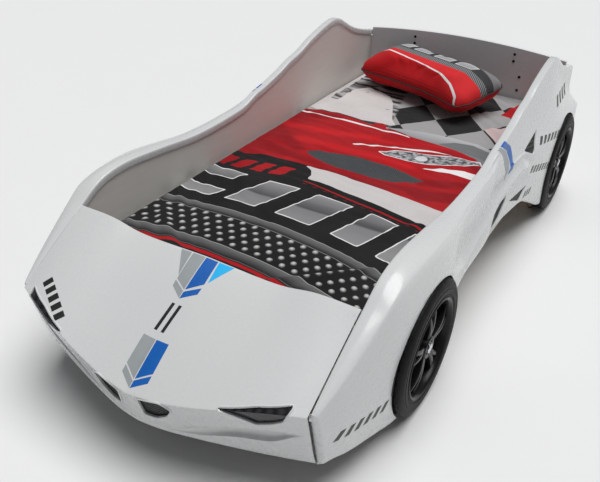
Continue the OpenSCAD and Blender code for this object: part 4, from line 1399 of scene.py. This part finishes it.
def pillow_print(p):
    """Fields of the pillow's print, in centimetres; x runs along it, y from front seam to back seam."""
    blocks = union(polygon_distance(p, slanted(-25 + 12.2 * i, 3.6 - 0.25 * i, 9.4, 4.6, 1.6))
                   for i in range(4))
    bars = union(polygon_distance(p, slanted(-22 + 3.6 * i, 9.8, 2.3, 2.0, 0.7)) for i in range(4))
    stripe = [(-31, -3.4), (-26, -3.2), (-14, -4.4), (0, -6.4), (12, -8.2), (22, -10.4), (28, -13.2),
              (30, -16.5)]
    back = [(-40, 13), (8, 13), (24, 8), (40, 5), (40, 40), (-40, 40)]
    return {"print_bright": -polygon_distance(p, [(-40, -30), (40, -30), (29, -13), (22, -10.4), (12, -8.2),
                                                  (0, -6.4), (-14, -4.4), (-26, -3.2), (-40, -3.0)]),
            "print_black": polygon_distance(p, [(-40, 2.4), (40, 1.2), (40, 40), (-40, 40)]),
            "print_ribs": polygon_distance(p, [(-40, -0.4), (40, -1.6), (40, 2.2), (-40, 2.6)]),
            "print_white": union([line_distance(p, stripe, 1.0), blocks]), "print_silver": blocks + 0.35,
            "print_red": bars, "print_grey": polygon_distance(p, back)}


def build_pillow():
    """Stuffed printed pillow leaning on the backboard, its near end turned towards the nose."""
    low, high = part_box("pillow")
    half_l, half_w, half_t, height, n, m = 0.325, 0.160, 0.060, 0.168, 64, 34
    s, t = np.meshgrid(np.linspace(-1, 1, n + 1), np.linspace(-1, 1, m + 1))
    # rounded corners, long sides pulled in a little between them
    px = half_l * s * (1 - 0.07 * t ** 6)
    py = half_w * t * (1 - 0.10 * s ** 8) * (1 - 0.04 * (1 - s ** 2))
    puff = half_t * np.clip(1 - s ** 8, 0, 1) ** 0.5 * np.clip(1 - t ** 4, 0, 1) ** 0.5
    flat = np.stack([px, py, 0 * px], -1).reshape(-1, 3)
    top, bottom = flat.copy(), flat.copy()
    top[:, 2], bottom[:, 2] = puff.ravel(), -puff.ravel()
    inner = np.flatnonzero(((abs(s) < 1) & (abs(t) < 1)).ravel())
    index = np.arange(len(top))
    index[inner] = len(top) + np.arange(len(inner))
    upper = grid_faces(m + 1, n + 1)
    lower = [tuple(index[v] for v in f)[::-1] for f in upper]
    pad = new_object("pillow_body", np.concatenate([top, bottom[inner]]), upper + lower)
    start = coordinates(pad)
    simulate(pad, 20, pressure=4.5, stretch=12, bend=0.3)
    capped(pad, start, 0.03)
    co = coordinates(pad)
    x, y, z = co.T
    z *= height / (z.max() - z.min())
    # the underside settles flat where it rests
    floor, kept = -0.05, 0.45
    z[:] = np.where(z < floor, floor + (z - floor) * kept, z)
    # creases that run in from the seams
    depth = 0.0022 * np.sign(z)
    ends, edge = np.clip(abs(x) / half_l, 0, 1) ** 3, np.clip(abs(y) / half_w, 0, 1) ** 4
    z += depth * (ends * np.sin(y * 95) + edge * np.sin(x * 70 + 3 * np.sin(x * 19)))
    set_coordinates(pad, co)
    # the underside's print goes on past the front seam
    flat = np.concatenate([flat, flat[inner]])
    flat[len(top):, 1] = -2 * half_w - flat[len(top):, 1]
    set_fields(pad, {"flat": flat})
    piping = tube("pillow_piping", co[border_of(m + 1, n + 1)], 0.0032)
    subdivided(pad, 1)
    values = np.zeros(len(pad.data.vertices) * 3)
    pad.data.attributes["flat"].data.foreach_get("vector", values)
    set_fields(pad, pillow_print(values.reshape(-1, 3)[:, :2] * 100))
    centre = (low + high) / 2
    place = (Matrix.Translation((centre.x, centre.y, low.z + 0.088))
             @ Matrix.Rotation(math.radians(-20), 4, "Z") @ Matrix.Rotation(math.radians(7), 4, "X"))
    for o in (pad, piping):
        o.data.transform(place)
    finish_piece(pad, pillow_cloth(), "pillow", ["pillow"], 80)
    finish_piece(piping, BINDING, "pillow", angle=80)


def build_mattress():
    """Foam mattress in quilted ticking, with a piped edge round its top and bottom."""
    low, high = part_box("mattress")
    centre, size = (low + high) / 2, (high - low) / 2
    corner, step, dip, per_metre = 0.05, 0.02, 0.005, 42
    path = []
    for cx, cy, a0 in ((1, -1, -90), (1, 1, 0), (-1, 1, 90), (-1, -1, 180)):
        for k in range(7):
            a = math.radians(a0 + 15 * k)
            path.append(((size.x - corner) * cx + corner * math.cos(a),
                         (size.y - corner) * cy + corner * math.sin(a)))
    edge = resampled(path, step)
    n = len(edge)
    # rings of (level, share of the width) from the middle of the underside to that of the top
    wall = [(-1.0, 0.994), (-0.93, 0.999), (-0.84, 0.994), (-0.5, 1.0), (0.0, 1.0), (0.5, 1.0),
            (0.84, 0.994), (0.93, 0.999), (1.0, 0.994)]
    shrink = [(size.y - step * k) / size.y for k in range(1, int(size.y / step))]
    rings = [(-1, f) for f in shrink[::-1]] + wall + [(1, f) for f in shrink]
    verts = []
    for level, f in rings:
        inward = (1 - f) * size.y
        scale = np.array([max((size.x - inward) / size.x, 0.02), f])
        for x, y in edge * scale:
            quilt = 0
            if abs(level) == 1:
                stitched = abs(math.sin((x + y) * per_metre) * math.sin((x - y) * per_metre)) ** 0.5
                quilt = -dip + 0.8 * dip * min(inward / 0.03, 1) * stitched
            verts.append((centre.x + x, centre.y + y, centre.z + level * (size.z + quilt)))
    body = new_object("mattress_body", verts, capped_faces(len(rings), n))
    finish_piece(body, TICKING, "mattress", ["mattress"], 60)
    for name, level in (("mattress_piping_top", 0.93), ("mattress_piping_bottom", -0.93)):
        loop = [(centre.x + x * 0.998, centre.y + y * 0.999, centre.z + level * size.z) for x, y in edge]
        finish_piece(tube(name, loop, 0.004), TICKING, "mattress", angle=80)


# ---------------------------------------------------------------- camera, light and floor

CAMERA_TURN = (30.55, 32.24, 1.38)
CAMERA_AT = (1.0, HOOD_Y - 1.2179, 1.4959)
CAMERA_LENS = 42.44


def build_camera():
    """Camera at the reference view: azimuth, elevation and roll in degrees, place in metres."""
    azimuth, elevation, roll = (math.radians(a) for a in CAMERA_TURN)
    ahead = Vector((-math.sin(azimuth) * math.cos(elevation), math.cos(azimuth) * math.cos(elevation),
                    -math.sin(elevation)))
    level = Vector((math.cos(azimuth), math.sin(azimuth), 0))
    upright = level.cross(ahead)
    right = math.cos(roll) * level + math.sin(roll) * upright
    up = right.cross(ahead)
    camera = bpy.data.cameras.new("camera")
    camera.lens, camera.sensor_width, camera.clip_end = CAMERA_LENS, 36, 100
    obj = linked("camera", camera)
    turn = Matrix((right, up, -ahead)).transposed().to_4x4()
    obj.matrix_world = Matrix.Translation(CAMERA_AT) @ turn
    bpy.context.scene.camera = obj


def build_studio():
    """Pale floor under one wide soft light from above and a dim blue-white surround."""
    world = bpy.data.worlds.new("studio")
    bpy.context.scene.world = world
    world.use_nodes = True
    colour, strength = world.node_tree.nodes["Background"].inputs[:2]
    colour.default_value, strength.default_value = (0.93, 0.96, 1.0, 1), 0.17
    light = bpy.data.lights.new("softbox", "SUN")
    light.energy, light.angle = 2.75, math.radians(45)
    towards_light = Vector((0.13, 0.14, 1))
    linked("softbox", light).rotation_euler = towards_light.to_track_quat("Z", "Y").to_euler()
    bpy.ops.mesh.primitive_plane_add(size=60)
    floor = bpy.context.object
    floor.name = "floor"
    s = Shader("floor_pale")
    s.set(Base_Color=s.blend(s.noise(2, 2), (0.80, 0.80, 0.80), (0.815, 0.815, 0.815)), Roughness=0.9)
    floor.data.materials.append(s.material)
    bpy.context.scene.view_settings.view_transform = "Standard"


# ---------------------------------------------------------------- CAD nodes that stay

def dress_cad():
    """Materials and rounded edges for the CAD nodes whose shape is already right."""
    finishes = {"left_side_board": CREAM, "right_side_board": CREAM, "footboard": CREAM,
                "backboard": PALE, "slats": PINE, "slat_end_caps": DARK, "centre_beam": COATED,
                "centre_legs": COATED, "left_slat_rail": COATED, "right_slat_rail": COATED,
                "leg_glides": DARK, "floor_glides": DARK, "corner_brackets": STEEL,
                "bracket_bolts": STEEL, "wheel_screws": STEEL, "rail_screws": STEEL,
                "backboard_bolts": BOLT, "shell_screw_caps": WHITE}
    finishes.update({f"{end}_{side}_wheel_panel": RAW
                     for end in ("front", "rear") for side in ("left", "right")})
    for name, material in finishes.items():
        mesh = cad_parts[name].data
        mesh.materials.clear()
        mesh.materials.append(material)
    for name, width in (("left_side_board", 1.0), ("right_side_board", 1.0), ("backboard", 1.0),
                        ("footboard", 1.0), ("slats", 2.0), ("corner_brackets", 0.6),
                        ("centre_beam", 2.0)):
        bevelled(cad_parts[name], width, 40)


def main():
    build_camera()
    build_studio()
    build_side_shells()
    build_side_plates()
    build_arch_shade_bands()
    build_nose_details(build_hood())
    build_wheels()
    build_hood_films()
    build_side_films()
    build_mattress()
    build_bedspread()
    build_pillow()
    dress_cad()


main()
